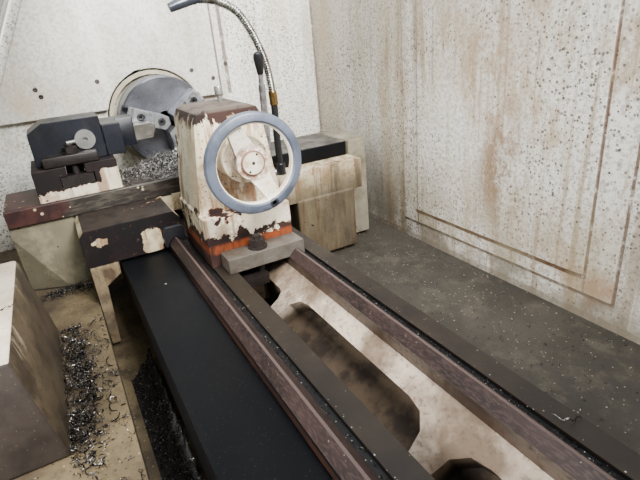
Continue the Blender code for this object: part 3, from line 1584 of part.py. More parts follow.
def clamp_lever():
    """The tailstock's clamp lever: a pivot, a rod with a sleeve and a tapered knob."""
    y = AXIS_Y + 0.112
    top = LEVER_Z + 0.212
    pivot = rod("clamp_lever", (LEVER_X, AXIS_Y + 0.056, LEVER_Z), (LEVER_X, y + 0.010, LEVER_Z), 0.010)
    stem = rod("clamp_lever_rod", (LEVER_X, y, LEVER_Z), (LEVER_X, y + 0.005, top + 0.01), 0.005, 16, helper=True)
    sleeve = rod(
        "clamp_lever_sleeve",
        (LEVER_X, y + 0.0015, LEVER_Z + 0.070),
        (LEVER_X, y + 0.0045, top - 0.02),
        0.0072,
        16,
        helper=True,
    )
    knob = turned(
        "clamp_lever_knob",
        [
            (0.046, 0.0),
            (0.045, 0.006),
            (0.041, 0.0105),
            (0.032, 0.0112),
            (0.002, 0.0065),
            (0.0, 0.0055),
            (0.0, 0.0),
        ],
        (LEVER_X, y + 0.005, top),
        along="Z",
        steps=24,
        helper=True,
    )
    return join(pivot, stem, sleeve, knob)


def quill_lock():
    """The quill's lock screw on the tailstock's top."""
    foot = WAY_LEVEL + TAIL_TOP
    return turned(
        "quill_lock",
        [
            (0.030, 0.0),
            (0.030, 0.0075),
            (0.028, 0.0085),
            (0.014, 0.0085),
            (0.0125, 0.005),
            (-0.0285, 0.005),
            (-0.0285, 0.0),
        ],
        (LOCK_X, LOCK_Y, foot),
        along="Z",
        steps=24,
    )


def guard_path():
    """The guard's outline from the rear foot, over the roof and down the front, as seen along the bed."""
    return [
        (REAR_WALL_REACH + SHEET, FOOT_LINE),
        (REAR_WALL_REACH + SHEET, ROOF),
        (-TOP_FRONT_REACH, ROOF),
        (-TOP_FRONT_REACH, ROOF - TOP_LIP),
        (-FRONT_REACH + SILL_LEDGE, SILL_RISE),
        (-FRONT_REACH, SILL_RISE),
        (-FRONT_REACH, FOOT_LINE),
    ]


def headstock_cover():
    """The cover over the headstock, closed at its left end."""
    strip = extruded(
        "headstock_cover",
        [placed(sheet_section(guard_path(), SHEET))],
        "X",
        LEFT_X,
        PARTITION_X - SHEET - GAP,
    )
    inner = [(a * 0.9999, b if b > FOOT_LINE else FOOT_LINE + 0.001) for a, b in guard_path()]
    wall = extruded("headstock_cover_end", [placed(inner)], "X", LEFT_X + 0.0002, LEFT_X + SHEET, helper=True)
    return join(strip, wall)


def right_end_cover():
    """The narrow cover at the bed's right end."""
    strip = extruded(
        "right_end_cover", [placed(sheet_section(guard_path(), SHEET))], "X", INNER_RIGHT_X, RIGHT_X
    )
    inner = [(a * 0.9999, b if b > FOOT_LINE else FOOT_LINE + 0.001) for a, b in guard_path()]
    wall = extruded("right_end_wall", [placed(inner)], "X", END_WALL_X, RIGHT_X - 0.0002, helper=True)
    return join(strip, wall)


def chuck_partition():
    """The wall between the headstock and the working room, with the spindle's hole and the bed's notch."""
    side = BED_WIDTH / 2 + GAP
    notch = V_RISE + 0.0007
    low = -0.300
    outline = [(a, max(b, low)) for a, b in guard_path()]
    outline += [(-side, low), (-side, notch), (side, notch), (side, low)]
    hole = circle((AXIS_Y, AXIS_Z), PARTITION_HOLE_RADIUS, TURN_STEPS)
    return extruded("chuck_partition", [placed(outline), hole], "X", PARTITION_X - SHEET, PARTITION_X)


def partition_cover():
    """The raised panel round the top of the spindle's hole."""
    foot, top = 0.249, ROOF - TOP_LIP
    edge = 0.024
    slope = SLOPE_RUN / SLOPE_RISE
    front_at = -FRONT_REACH + SILL_LEDGE + edge
    rise = foot - CENTRE_HEIGHT
    start = math.asin(rise / PARTITION_HOLE_RADIUS)
    arc = [
        (PARTITION_HOLE_RADIUS * math.cos(a), CENTRE_HEIGHT + PARTITION_HOLE_RADIUS * math.sin(a))
        for a in [math.pi - start - (math.pi - 2 * start) * i / 20 for i in range(21)]
    ]
    outline = [
        (COVER_PANEL_REACH, foot),
        (COVER_PANEL_REACH + 0.012, top),
        (front_at + (top - SILL_RISE) * slope, top),
        (front_at + (foot - SILL_RISE) * slope, foot),
    ]
    return broken(
        extruded(
            "partition_cover",
            [placed(outline + arc)],
            "X",
            PARTITION_X + GAP,
            PARTITION_X + COVER_PANEL_DEPTH,
        ),
        0.004,
        2,
        60,
    )


def front_panel():
    """The lower front panel, folded over at the sill."""
    path = [
        (-FRONT_REACH + SILL_LEDGE, SILL_RISE - 0.012),
        (-FRONT_REACH + SILL_LEDGE, SILL_RISE),
        (-FRONT_REACH, SILL_RISE),
        (-FRONT_REACH, FOOT_LINE),
    ]
    return extruded(
        "front_panel",
        [placed(sheet_section(path, SHEET))],
        "X",
        PARTITION_X + GAP,
        INNER_RIGHT_X - GAP,
    )


def front_tray():
    """The front tray: a shelf, a step down and the gutter beside the bed."""
    path = [
        (-BED_WIDTH / 2 - GAP, -GUTTER_DROP),
        (-TRAY_EDGE_REACH, -GUTTER_DROP),
        (-TRAY_EDGE_REACH, -TRAY_DROP),
        (-FRONT_REACH + SHEET + GAP, -TRAY_DROP),
    ]
    return extruded(
        "front_tray",
        [placed(sheet_section(path, SHEET))],
        "X",
        PARTITION_X + GAP,
        END_WALL_X - GAP,
    )


def front_cover_box():
    """The box on the front tray over the door switch and pipes, with a sloping inner side."""
    outline = [(-0.555, -TRAY_DROP + GAP), (-0.388, -TRAY_DROP + GAP), (-0.416, 0.071), (-0.500, 0.071)]
    return broken(
        extruded("front_cover_box", [placed(outline)], "X", SILL_BOX_X, SILL_BOX_X + SILL_BOX_LENGTH),
        0.006,
        2,
        50,
    )


def rear_floor():
    """The sheet floor behind the bed."""
    path = [
        (REAR_WALL_REACH - GAP, -REAR_FLOOR_DROP),
        (BED_WIDTH / 2 + GAP, -REAR_FLOOR_DROP),
        (BED_WIDTH / 2 + GAP, -REAR_FLOOR_DROP - 0.030),
    ]
    section = sheet_section(path, SHEET)
    return extruded("rear_floor", [placed(section)], "X", PARTITION_X + GAP, END_WALL_X - GAP)


def rear_wall():
    return box(
        "rear_wall",
        (PARTITION_X + GAP, AXIS_Y + REAR_WALL_REACH, COVER_FOOT),
        (INNER_RIGHT_X - GAP, AXIS_Y + REAR_WALL_REACH + SHEET, COVER_HEIGHT),
    )


def access_panel():
    """The screwed panel on the rear wall, with its raised middle."""
    far = AXIS_Y + REAR_WALL_REACH - GAP
    low, high = WAY_LEVEL - 0.132, WAY_LEVEL + 0.550
    panel = box("access_panel", (PANEL_X, far - SHEET, low), (PANEL_X + PANEL_LENGTH, far, high))
    middle = box(
        "access_panel_middle",
        (PANEL_X + PANEL_BORDER, far - SHEET - 0.004, low + 0.038),
        (PANEL_X + PANEL_LENGTH - PANEL_BORDER, far - SHEET + 0.001, high - 0.038),
        helper=True,
        bevel=0.003,
    )
    return join(panel, middle)


def z_screw_cover():
    """The folded cover over the lengthwise screw, along the bed's front."""
    side = -BED_WIDTH / 2 - GAP
    path = [(side, -0.040), (side, -0.018), (-0.238, -0.018), (-0.238, -0.098)]
    return extruded(
        "z_screw_cover",
        [placed(sheet_section(path, THIN_SHEET))],
        "X",
        PARTITION_X + GAP,
        BED_RIGHT_X,
    )


def z_bearing(name, left):
    """A bearing block on the bed's front for the lengthwise screw."""
    block = box(
        name,
        (left, AXIS_Y - Z_SCREW_REACH - 0.040, WAY_LEVEL - Z_SCREW_DROP - 0.040),
        (left + BEARING_LENGTH, AXIS_Y - BED_WIDTH / 2 - GAP, WAY_LEVEL - Z_SCREW_DROP + 0.033),
        bevel=0.004,
    )
    bore = rod(
        name + "_bore",
        (left - 0.01, AXIS_Y - Z_SCREW_REACH, WAY_LEVEL - Z_SCREW_DROP),
        (left + BEARING_LENGTH + 0.01, AXIS_Y - Z_SCREW_REACH, WAY_LEVEL - Z_SCREW_DROP),
        Z_JOURNAL_RADIUS + WAY_GAP,
        TURN_STEPS,
        helper=True,
    )
    return cut(block, bore)


def z_screw():
    """The lengthwise screw between its bearings, with a journal into the motor."""
    low, high = Z_BEARING_LEFT_X + 0.005, BED_RIGHT_X + 0.030
    profile = [
        (high, 0.0),
        (high, Z_JOURNAL_RADIUS),
        (BED_RIGHT_X - BEARING_LENGTH - 0.002, Z_JOURNAL_RADIUS),
        (BED_RIGHT_X - BEARING_LENGTH - 0.002, Z_SCREW_RADIUS),
        (Z_BEARING_LEFT_X + BEARING_LENGTH + 0.002, Z_SCREW_RADIUS),
        (Z_BEARING_LEFT_X + BEARING_LENGTH + 0.002, Z_JOURNAL_RADIUS),
        (low, Z_JOURNAL_RADIUS),
        (low, 0.0),
    ]
    centre = (0.0, AXIS_Y - Z_SCREW_REACH, WAY_LEVEL - Z_SCREW_DROP)
    return turned("z_screw", profile, centre)


def z_motor():
    """The lengthwise screw's motor, on the right bearing block."""
    half = 0.050
    left = BED_RIGHT_X + GAP
    motor = box(
        "z_motor",
        (left, AXIS_Y - Z_SCREW_REACH - half, WAY_LEVEL - Z_SCREW_DROP - half),
        (left + 0.160, AXIS_Y - Z_SCREW_REACH + half, WAY_LEVEL - Z_SCREW_DROP + half),
        bevel=0.010,
    )
    bore = rod(
        "z_motor_bore",
        (left - 0.01, AXIS_Y - Z_SCREW_REACH, WAY_LEVEL - Z_SCREW_DROP),
        (left + 0.031, AXIS_Y - Z_SCREW_REACH, WAY_LEVEL - Z_SCREW_DROP),
        Z_JOURNAL_RADIUS + WAY_GAP,
        TURN_STEPS,
        helper=True,
    )
    return cut(motor, bore)


def base(name, left, length):
    """A hollow cast base under the bed, on four levelling feet."""
    top = WAY_LEVEL - BED_DEPTH - GAP
    half = BASE_HALF_DEPTH
    shell = box(name, (left, AXIS_Y - half, FOOT_HEIGHT), (left + length, AXIS_Y + half, top))
    hollow = box(
        name + "_hollow",
        (left + BASE_WALL, AXIS_Y - half + BASE_WALL, 0.0),
        (left + length - BASE_WALL, AXIS_Y + half - BASE_WALL, top - BASE_WALL),
        helper=True,
    )
    feet = []
    for i, (x, y) in enumerate([(1, 1), (1, -1), (-1, 1), (-1, -1)]):
        centre_x = left + length / 2 + x * (length / 2 - FOOT_RADIUS - 0.01)
        centre_y = AXIS_Y + y * (half - FOOT_RADIUS - 0.01)
        feet.append(
            rod(
                "%s_foot_%d" % (name, i),
                (centre_x, centre_y, 0.0),
                (centre_x, centre_y, FOOT_HEIGHT + 0.030),
                FOOT_RADIUS + 0.005,
                16,
                helper=True,
            )
        )
    return join(cut(shell, hollow), *feet)


def coolant_tank():
    """The coolant tank between the bases: an open tray on feet."""
    left, right = BED_LEFT_X + BASE_LENGTH + GAP, RIGHT_BASE_X - GAP
    low, high = 0.050, 0.400
    front, back = AXIS_Y - 0.420, AXIS_Y + 0.240
    wall = 0.004
    tank = box("coolant_tank", (left, front, low), (right, back, high))
    hollow = box(
        "coolant_tank_room",
        (left + wall, front + wall, low + wall),
        (right - wall, back - wall, high + 0.01),
        helper=True,
    )
    feet = [
        rod(
            "coolant_tank_foot_%d" % i,
            ((left + right) / 2 + x * ((right - left) / 2 - 0.05), (front + back) / 2 + y * 0.27, 0.0),
            ((left + right) / 2 + x * ((right - left) / 2 - 0.05), (front + back) / 2 + y * 0.27, low + 0.002),
            0.020,
            16,
            helper=True,
        )
        for i, (x, y) in enumerate([(1, 1), (1, -1), (-1, 1), (-1, -1)])
    ]
    return join(cut(tank, hollow), *feet)


def electrical_cabinet():
    """The electrical cabinet behind the headstock, open to the rear, with its drives inside."""
    near, far = AXIS_Y + REAR_WALL_REACH + SHEET + GAP, CABINET_FACE_Y
    wall = 0.004
    cabinet = box("electrical_cabinet", (CABINET_X, near, CABINET_LOW), (CABINET_X + CABINET_WIDTH, far, CABINET_HIGH))
    room = box(
        "electrical_cabinet_room",
        (CABINET_X + wall, near + wall, CABINET_LOW + wall),
        (CABINET_X + CABINET_WIDTH - wall, far + 0.01, CABINET_HIGH - wall),
        helper=True,
    )
    drives = []
    for i in range(3):
        left = CABINET_X + 0.090 + i * 0.190
        drives.append(
            box(
                "electrical_cabinet_drive_%d" % i,
                (left, near + wall - 0.001, CABINET_HIGH - 0.420),
                (left + 0.130, near + 0.110, CABINET_HIGH - 0.120),
                helper=True,
            )
        )
    return join(cut(cabinet, room), *drives)


def cabinet_door():
    """The cabinet's door, with its latch handle."""
    near = CABINET_FACE_Y + GAP
    door = box(
        "cabinet_door",
        (CABINET_X, near, CABINET_LOW),
        (CABINET_X + CABINET_WIDTH, near + CABINET_DOOR, CABINET_HIGH),
    )
    latch = box(
        "cabinet_door_latch",
        (CABINET_X + CABINET_WIDTH - 0.060, near + CABINET_DOOR - 0.002, (CABINET_LOW + CABINET_HIGH) / 2 - 0.060),
        (CABINET_X + CABINET_WIDTH - 0.035, AXIS_Y + REAR_REACH, (CABINET_LOW + CABINET_HIGH) / 2 + 0.060),
        helper=True,
        bevel=0.003,
    )
    return join(door, latch)


def slope_frame():
    """From (x, up the slope, out of the slope) to the world."""
    run, rise = SLOPE_RUN / SLOPE_LENGTH, SLOPE_RISE / SLOPE_LENGTH
    rows = ((1, 0, 0, 0), (0, run, -rise, AXIS_Y - FRONT_REACH + SILL_LEDGE), (0, rise, run, WAY_LEVEL + SILL_RISE))
    return Matrix(rows + ((0, 0, 0, 1),))


def on_slope(obj):
    """Carry a mesh from slope coordinates to the world."""
    obj.data.transform(slope_frame())
    return obj


def door_rail():
    """The rail along the guard's top, with two grooves that carry the doors' upper edges."""
    top, low = RAIL_TOP, RAIL_LOW
    outline = [(-0.020, low), (-0.020, top)]
    edge = [(DOOR_PITCH * 2 + DOOR_STANDOFF, top), (DOOR_PITCH * 2 + DOOR_STANDOFF, low)]
    grooves = []
    for k in (1, 0):
        near = DOOR_STANDOFF + k * DOOR_PITCH - WAY_GAP
        far = near + DOOR_THICKNESS + 2 * WAY_GAP
        grooves += [(far, low), (far, low + DOOR_ENGAGEMENT), (near, low + DOOR_ENGAGEMENT), (near, low)]
    rail = extruded(
        "door_rail",
        [[(b, a) for a, b in outline + edge + grooves]],
        "X",
        PARTITION_X + GAP,
        INNER_RIGHT_X - GAP,
    )
    return on_slope(rail)


def door(name, left, layer, grip):
    """A sliding door with a window opening, and a rebate that holds the pane."""
    near = DOOR_STANDOFF + layer * DOOR_PITCH
    low, high = DOOR_FOOT, RAIL_LOW + DOOR_ENGAGEMENT - WAY_GAP
    right = left + DOOR_WIDTH
    panel = box(name, (left, low, near), (right, high, near + DOOR_THICKNESS))
    hole = box(
        name + "_opening",
        (left + DOOR_BORDER, low + DOOR_BORDER, near - 0.01),
        (right - DOOR_BORDER, high - DOOR_BORDER, near + DOOR_THICKNESS + 0.01),
        helper=True,
        bevel=0.0,
    )
    rebate = box(
        name + "_rebate",
        (left + DOOR_BORDER - 0.012, low + DOOR_BORDER - 0.012, near + PANE_DEPTH - GAP),
        (right - DOOR_BORDER + 0.012, high - DOOR_BORDER + 0.012, near + DOOR_THICKNESS + 0.01),
        helper=True,
    )
    for piece in (panel, hole, rebate):
        on_slope(piece)
    cut(panel, hole, rebate)
    middle = left + 0.055 if layer else right - 0.055
    height = (low + high) / 2
    if grip == "bar":
        bar = box(
            name + "_bar",
            (middle - 0.012, height - 0.130, near + DOOR_THICKNESS + 0.022),
            (middle + 0.012, height + 0.130, near + DOOR_THICKNESS + 0.034),
            helper=True,
            bevel=0.004,
        )
        posts = [
            box(
                "%s_post_%d" % (name, k),
                (middle - 0.010, height + end - 0.012, near + DOOR_THICKNESS - 0.002),
                (middle + 0.010, height + end + 0.012, near + DOOR_THICKNESS + 0.024),
                helper=True,
            )
            for k, end in enumerate((-0.115, 0.115))
        ]
        for piece in [bar] + posts:
            on_slope(piece)
        return join(panel, bar, *posts)
    pocket = box(
        name + "_pull",
        (middle - 0.022, height - 0.080, near + 0.006),
        (middle + 0.022, height + 0.080, near + DOOR_THICKNESS + 0.01),
        helper=True,
        bevel=0.004,
    )
    return cut(panel, on_slope(pocket))


def window(name, left, layer):
    """The pane in a door's rebate."""
    near = DOOR_STANDOFF + layer * DOOR_PITCH + PANE_DEPTH
    low, high = DOOR_FOOT, RAIL_LOW + DOOR_ENGAGEMENT - WAY_GAP
    reach = 0.012 - GAP
    pane = box(
        name,
        (left + DOOR_BORDER - reach, low + DOOR_BORDER - reach, near),
        (left + DOOR_WIDTH - DOOR_BORDER + reach, high - DOOR_BORDER + reach, near + PANE_THICKNESS),
    )
    return on_slope(pane)


def control_box():
    """The control box on the slope of the headstock cover, with a sunk screen and a key field."""
    low, high = 0.330, 0.830
    unit = box(
        "control_box",
        (CONTROL_X, low, GAP),
        (CONTROL_X + CONTROL_WIDTH, high, CONTROL_DEPTH),
        bevel=0.006,
    )
    screen = box(
        "control_box_screen",
        (CONTROL_X + 0.050, 0.580, CONTROL_DEPTH - 0.006),
        (CONTROL_X + CONTROL_WIDTH - 0.110, 0.790, CONTROL_DEPTH + 0.01),
        helper=True,
    )
    keys = box(
        "control_box_keys",
        (CONTROL_X + 0.050, 0.370, CONTROL_DEPTH - 0.002),
        (CONTROL_X + CONTROL_WIDTH - 0.110, 0.550, CONTROL_DEPTH + 0.01),
        helper=True,
    )
    well = rod(
        "control_box_stop_well",
        (STOP_X, STOP_Y, CONTROL_DEPTH - 0.035),
        (STOP_X, STOP_Y, CONTROL_DEPTH + 0.01),
        0.008 + WAY_GAP,
        helper=True,
    )
    for piece in (unit, screen, keys, well):
        on_slope(piece)
    return cut(unit, screen, keys, well)


def emergency_stop():
    """The mushroom push button of the emergency stop."""
    centre = slope_frame() @ Vector((STOP_X, STOP_Y, CONTROL_DEPTH))
    button = turned(
        "emergency_stop",
        [
            (0.026, 0.0),
            (0.025, 0.010),
            (0.021, 0.0175),
            (0.017, 0.020),
            (0.010, 0.020),
            (0.008, 0.014),
            (0.008, 0.008),
            (-0.024, 0.008),
            (-0.024, 0.0),
        ],
        (0, 0, 0),
        along="Z",
        steps=32,
    )
    button.matrix_world = Matrix.Translation(centre) @ slope_frame().to_3x3().to_4x4()
    return button


def build():
    clear_scene()
    steel = finish_of("ground_steel", (0.42, 0.42, 0.43), 0.35, 0.9)
    way = finish_of("way_steel", (0.30, 0.22, 0.20), 0.5, 0.5)
    cream = finish_of("cream_paint", (0.74, 0.70, 0.60), 0.6)
    white = finish_of("white_paint", (0.78, 0.77, 0.72), 0.55)
    black = finish_of("black_sheet", (0.03, 0.035, 0.045), 0.45)
    primer = finish_of("brown_primer", (0.16, 0.09, 0.08), 0.7)
    rubber = finish_of("black_rubber", (0.02, 0.02, 0.02), 0.8)
    tool_black = finish_of("tool_steel", (0.05, 0.06, 0.08), 0.4, 0.6)
    chrome = finish_of("chrome", (0.7, 0.7, 0.7), 0.2, 1.0)
    motor_grey = finish_of("motor_grey", (0.2, 0.22, 0.24), 0.5)
    red = finish_of("stop_red", (0.6, 0.03, 0.02), 0.4)
    glass = finish_of("window_pane", (0.6, 0.65, 0.66), 0.15)

    painted(way, bed())
    painted(
        cream,
        base("base_left", BED_LEFT_X, BASE_LENGTH),
        base("base_right", RIGHT_BASE_X, BED_RIGHT_X - RIGHT_BASE_X),
        headstock(),
        front_tray(),
        front_cover_box(),
        x_motor_cover(),
    )
    painted(
        white,
        coolant_tank(),
        rear_wall(),
        access_panel(),
        chuck_partition(),
        partition_cover(),
        headstock_cover(),
        right_end_cover(),
        front_panel(),
        electrical_cabinet(),
        control_box(),
    )
    painted(cream, rear_floor())
    painted(black, z_screw_cover())
    painted(steel, door_rail(), z_bearing("z_bearing_left", Z_BEARING_LEFT_X))
    painted(steel, z_bearing("z_bearing_right", BED_RIGHT_X - BEARING_LENGTH))
    painted(motor_grey, z_motor(), spindle_motor())
    painted(rubber, drive_belt())

    screw = painted(steel, z_screw())
    body("z_screw_body", (Z_BEARING_LEFT_X, AXIS_Y - Z_SCREW_REACH, WAY_LEVEL - Z_SCREW_DROP), screw)
    cabinet = painted(white, cabinet_door())
    body("cabinet_door_body", (CABINET_X, AXIS_Y + REAR_REACH - 0.012, CABINET_LOW), cabinet)
    stop = painted(red, emergency_stop())
    body("emergency_stop_body", stop.matrix_world.translation, stop)

    for name, left, layer, grip in (
        ("left", LEFT_DOOR_X, 0, "pocket"),
        ("right", RIGHT_DOOR_X, 1, "bar"),
    ):
        leaf = painted(white, door("door_" + name, left, layer, grip))
        pane = painted(glass, window("window_" + name, left, layer))
        body("door_%s_body" % name, slope_frame() @ Vector((left, 0.0, 0.0)), leaf, pane)

    work_spindle = painted(steel, spindle())
    chuck = painted(steel, chuck_body())
    left = BED_LEFT_X - PULLEY_WIDTH - PULLEY_OFFSET
    wheel = painted(
        motor_grey, pulley("spindle_pulley", AXIS, left, SPINDLE_PULLEY_RADIUS, SPINDLE_RADIUS + GAP)
    )
    spindle_body = body("spindle_body", (CHUCK_FACE_X, AXIS_Y, AXIS_Z), work_spindle, chuck, wheel)
    for i in range(JAW_COUNT):
        piece = painted(steel, jaw(i))
        slider = body("jaw_%d_body" % (i + 1), jaw_frame(i) @ Vector((0, 0, 0.06)), piece)
        slider.parent = spindle_body
        slider.matrix_parent_inverse = spindle_body.matrix_world.inverted()
    small = painted(motor_grey, motor_pulley(left))
    body("motor_pulley_body", (left, AXIS_Y + MOTOR_REACH, MOTOR_LEVEL), small)

    carriage = body(
        "saddle_body",
        (SADDLE_X, AXIS_Y, WAY_LEVEL),
        painted(primer, saddle()),
        painted(cream, saddle_guard()),
        painted(chrome, coolant_pipe()),
        bpy.data.objects["x_motor_cover"],
    )
    cross = body(
        "cross_slide_body",
        (SLIDE_MID_X, AXIS_Y, WAY_LEVEL + WING_TOP),
        painted(primer, cross_slide()),
        painted(black, slide_cover()),
        painted(primer, tool_post_base()),
        painted(steel, clamp_plate()),
        painted(primer, tool_clamp_bolt()),
        painted(tool_black, tool_block()),
        painted(tool_black, tool_holder()),
        painted(steel, tool_bar()),
    )
    cross_screw = body(
        "x_screw_body", (SLIDE_MID_X, AXIS_Y, WAY_LEVEL + X_SCREW_LEVEL), painted(steel, x_screw())
    )
    cam = body("cam_knob_body", (BLOCK_X, *KNOB_PLACE), painted(steel, cam_knob()))
    for child, parent in ((cross, carriage), (cross_screw, carriage), (cam, cross)):
        child.parent = parent
        child.matrix_parent_inverse = parent.matrix_world.inverted()

    tail = body(
        "tailstock_body_pivot",
        (TAIL_X, AXIS_Y, WAY_LEVEL),
        painted(primer, tailstock_body()),
        painted(steel, clamp_slab()),
        painted(primer, clamp_bolt()),
    )
    carried = [
        body("quill_body", (TAIL_X, AXIS_Y, AXIS_Z), painted(steel, quill())),
        body(
            "handwheel_body",
            (TAIL_X + TAIL_BODY_LENGTH + REAR_BOSS_LENGTH, AXIS_Y, AXIS_Z),
            painted(motor_grey, handwheel()),
            painted(steel, tailstock_screw()),
        ),
        body("clamp_lever_body", (LEVER_X, AXIS_Y + 0.112, LEVER_Z), painted(rubber, clamp_lever())),
        body("quill_lock_body", (LOCK_X, LOCK_Y, WAY_LEVEL + TAIL_TOP), painted(steel, quill_lock())),
    ]
    for child in carried:
        child.parent = tail
        child.matrix_parent_inverse = tail.matrix_world.inverted()
    bpy.context.view_layer.update()


build()
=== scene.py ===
# %% [markdown]
# # A flat-bed turning lathe, seen from inside its guard
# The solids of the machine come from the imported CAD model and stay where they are. This file
# dresses them: paint that has flaked, steel worn brown, chips in every corner, and the few pieces
# that need a finer surface than the solids have. Each cell makes one piece or one finish.

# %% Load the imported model
import json
import math

import bmesh
import bpy
import numpy as np
from mathutils import Matrix, Vector


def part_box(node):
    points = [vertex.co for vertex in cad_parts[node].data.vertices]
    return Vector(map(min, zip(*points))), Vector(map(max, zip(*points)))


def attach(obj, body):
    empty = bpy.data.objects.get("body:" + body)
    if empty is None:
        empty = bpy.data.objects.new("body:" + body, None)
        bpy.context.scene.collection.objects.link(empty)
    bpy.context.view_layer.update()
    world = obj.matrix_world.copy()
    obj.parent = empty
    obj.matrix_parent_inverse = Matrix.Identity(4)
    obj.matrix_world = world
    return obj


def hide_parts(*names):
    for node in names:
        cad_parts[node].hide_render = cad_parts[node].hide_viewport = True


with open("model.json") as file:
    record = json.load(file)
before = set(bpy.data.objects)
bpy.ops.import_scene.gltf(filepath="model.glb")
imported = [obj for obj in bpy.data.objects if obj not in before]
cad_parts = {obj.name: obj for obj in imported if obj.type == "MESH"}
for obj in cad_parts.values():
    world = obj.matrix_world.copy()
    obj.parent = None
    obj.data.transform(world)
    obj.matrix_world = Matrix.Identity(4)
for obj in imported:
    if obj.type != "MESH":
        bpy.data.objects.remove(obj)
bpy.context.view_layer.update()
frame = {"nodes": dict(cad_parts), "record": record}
nodes = frame["nodes"]

# %% [markdown]
# ## Where things are
# Every place is counted from two lines of the machine: the spindle line, and the flat ways of the
# bed. `AXIS_Y` is the spindle line seen from above, and `WAY_Z` is the height of the flat ways.

# %% The machine's own reference lines
AXIS_Y = -0.070
WAY_Z = 0.900
quill_low, quill_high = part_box("quill")
AXIS_Z = (quill_low.z + quill_high.z) / 2
PARTITION_X = -0.510
COVER_FACE_X = PARTITION_X + 0.022
SADDLE_X = 0.035
SLIDE_TOP_Z = WAY_Z + 0.1113
WALL_Y = AXIS_Y + 0.578
FLOOR_Z = WAY_Z - 0.189


def at(x, across, up):
    """A point from its place along the bed, across from the spindle line and up from the ways."""
    return (x, AXIS_Y + across, WAY_Z + up)


print("spindle line at", round(AXIS_Y, 3), round(AXIS_Z, 3), "and flat ways at", WAY_Z)

# %% [markdown]
# ## Camera, light and floor
# The picture is taken from over the tailstock end, so the camera stands inside the guard, above the
# right end of the bed. A camera looks along its own minus Z, so its turning matrix is made from the
# direction of view, the direction to the right and their cross product. The light is a plain studio:
# a soft lamp in front, where the guard is open, a stronger one high at the right end, a weak one
# above, and a pale surround.

# %% Camera
CAMERA_PLACE = (1.110, -0.3617, 1.3167)
LENS_MM = 27.56
SENSOR_MM = 36.0


def placed(name, data):
    """A new object with its data, in the scene's own collection."""
    made = bpy.data.objects.new(name, data)
    bpy.context.scene.collection.objects.link(made)
    return made


camera_data = bpy.data.cameras.new("view")
camera_data.lens = LENS_MM
camera_data.sensor_width = SENSOR_MM
camera_data.clip_start = 0.02
camera = placed("view", camera_data)
right = Vector((0.4830, 0.8712, -0.0873))
forward = Vector((-0.8192, 0.4145, -0.3963))
right = (right - forward * right.dot(forward)).normalized()
above = right.cross(forward)
turn = Matrix((right, above, -forward)).transposed()
camera.matrix_world = Matrix.Translation(CAMERA_PLACE) @ turn.to_4x4()
bpy.context.scene.camera = camera
print("camera at", tuple(round(v, 3) for v in camera.location))


# %% Lamps, surround and floor
def soft_lamp(name, place, target, size, watts, tint):
    """A square soft lamp that faces its target."""
    data = bpy.data.lights.new(name, "AREA")
    data.shape = "SQUARE"
    data.size = size
    data.energy = watts
    data.color = tint
    lamp = placed(name, data)
    aim = Vector(target) - Vector(place)
    lamp.matrix_world = Matrix.Translation(place) @ aim.to_track_quat("-Z", "Y").to_matrix().to_4x4()
    return lamp


soft_lamp("lamp_front", (1.3, -2.3, 2.5), (0.2, 0.05, 1.0), 0.9, 150, (1.0, 0.985, 0.95))
soft_lamp("lamp_right", (2.1, 0.30, 2.9), (-0.5, -0.30, 1.15), 1.1, 330, (1.0, 0.99, 0.97))
soft_lamp("lamp_top", (0.0, 0.0, 4.2), (0.0, 0.0, 1.0), 2.0, 90, (0.93, 0.97, 1.0))
world = bpy.data.worlds.new("studio")
world.use_nodes = True
surround = world.node_tree.nodes["Background"]
surround.inputs["Color"].default_value = (0.86, 0.90, 1.0, 1.0)
surround.inputs["Strength"].default_value = 0.5
bpy.context.scene.world = world

floor_mesh = bpy.data.meshes.new("studio_floor")
FLOOR_REACH = 9.0
floor_corners = [(x * FLOOR_REACH, y * FLOOR_REACH, 0) for x, y in ((-1, -1), (1, -1), (1, 1), (-1, 1))]
floor_mesh.from_pydata(floor_corners, [], [(0, 1, 2, 3)])
studio_floor = placed("studio_floor", floor_mesh)
floor_paint = bpy.data.materials.new("studio_floor")
floor_paint.use_nodes = True
floor_shader = floor_paint.node_tree.nodes["Principled BSDF"]
floor_shader.inputs["Base Color"].default_value = (0.72, 0.72, 0.70, 1)
floor_shader.inputs["Roughness"].default_value = 0.8
floor_mesh.materials.append(floor_paint)
print("three soft lamps and a pale floor")

# %% [markdown]
# ## A short way to write a finish
# Each finish is a small graph of nodes that ends in one Principled shader. The class below keeps
# the graph and gives short calls for what a workshop surface needs: patches of noise, round
# specks, bands between two heights, spots round a point, and mixing one colour over another.


# %% Colours and graphs
def tone(red, green, blue):
    """A colour as a screen shows it, from 0 to 255, turned into the linear values of a shader."""
    values = np.array([red, green, blue]) / 255
    linear = np.where(values <= 0.04045, values / 12.92, ((values + 0.055) / 1.055) ** 2.4)
    return (*[float(v) for v in linear], 1.0)


SPECK_SHARPNESS = 34.0


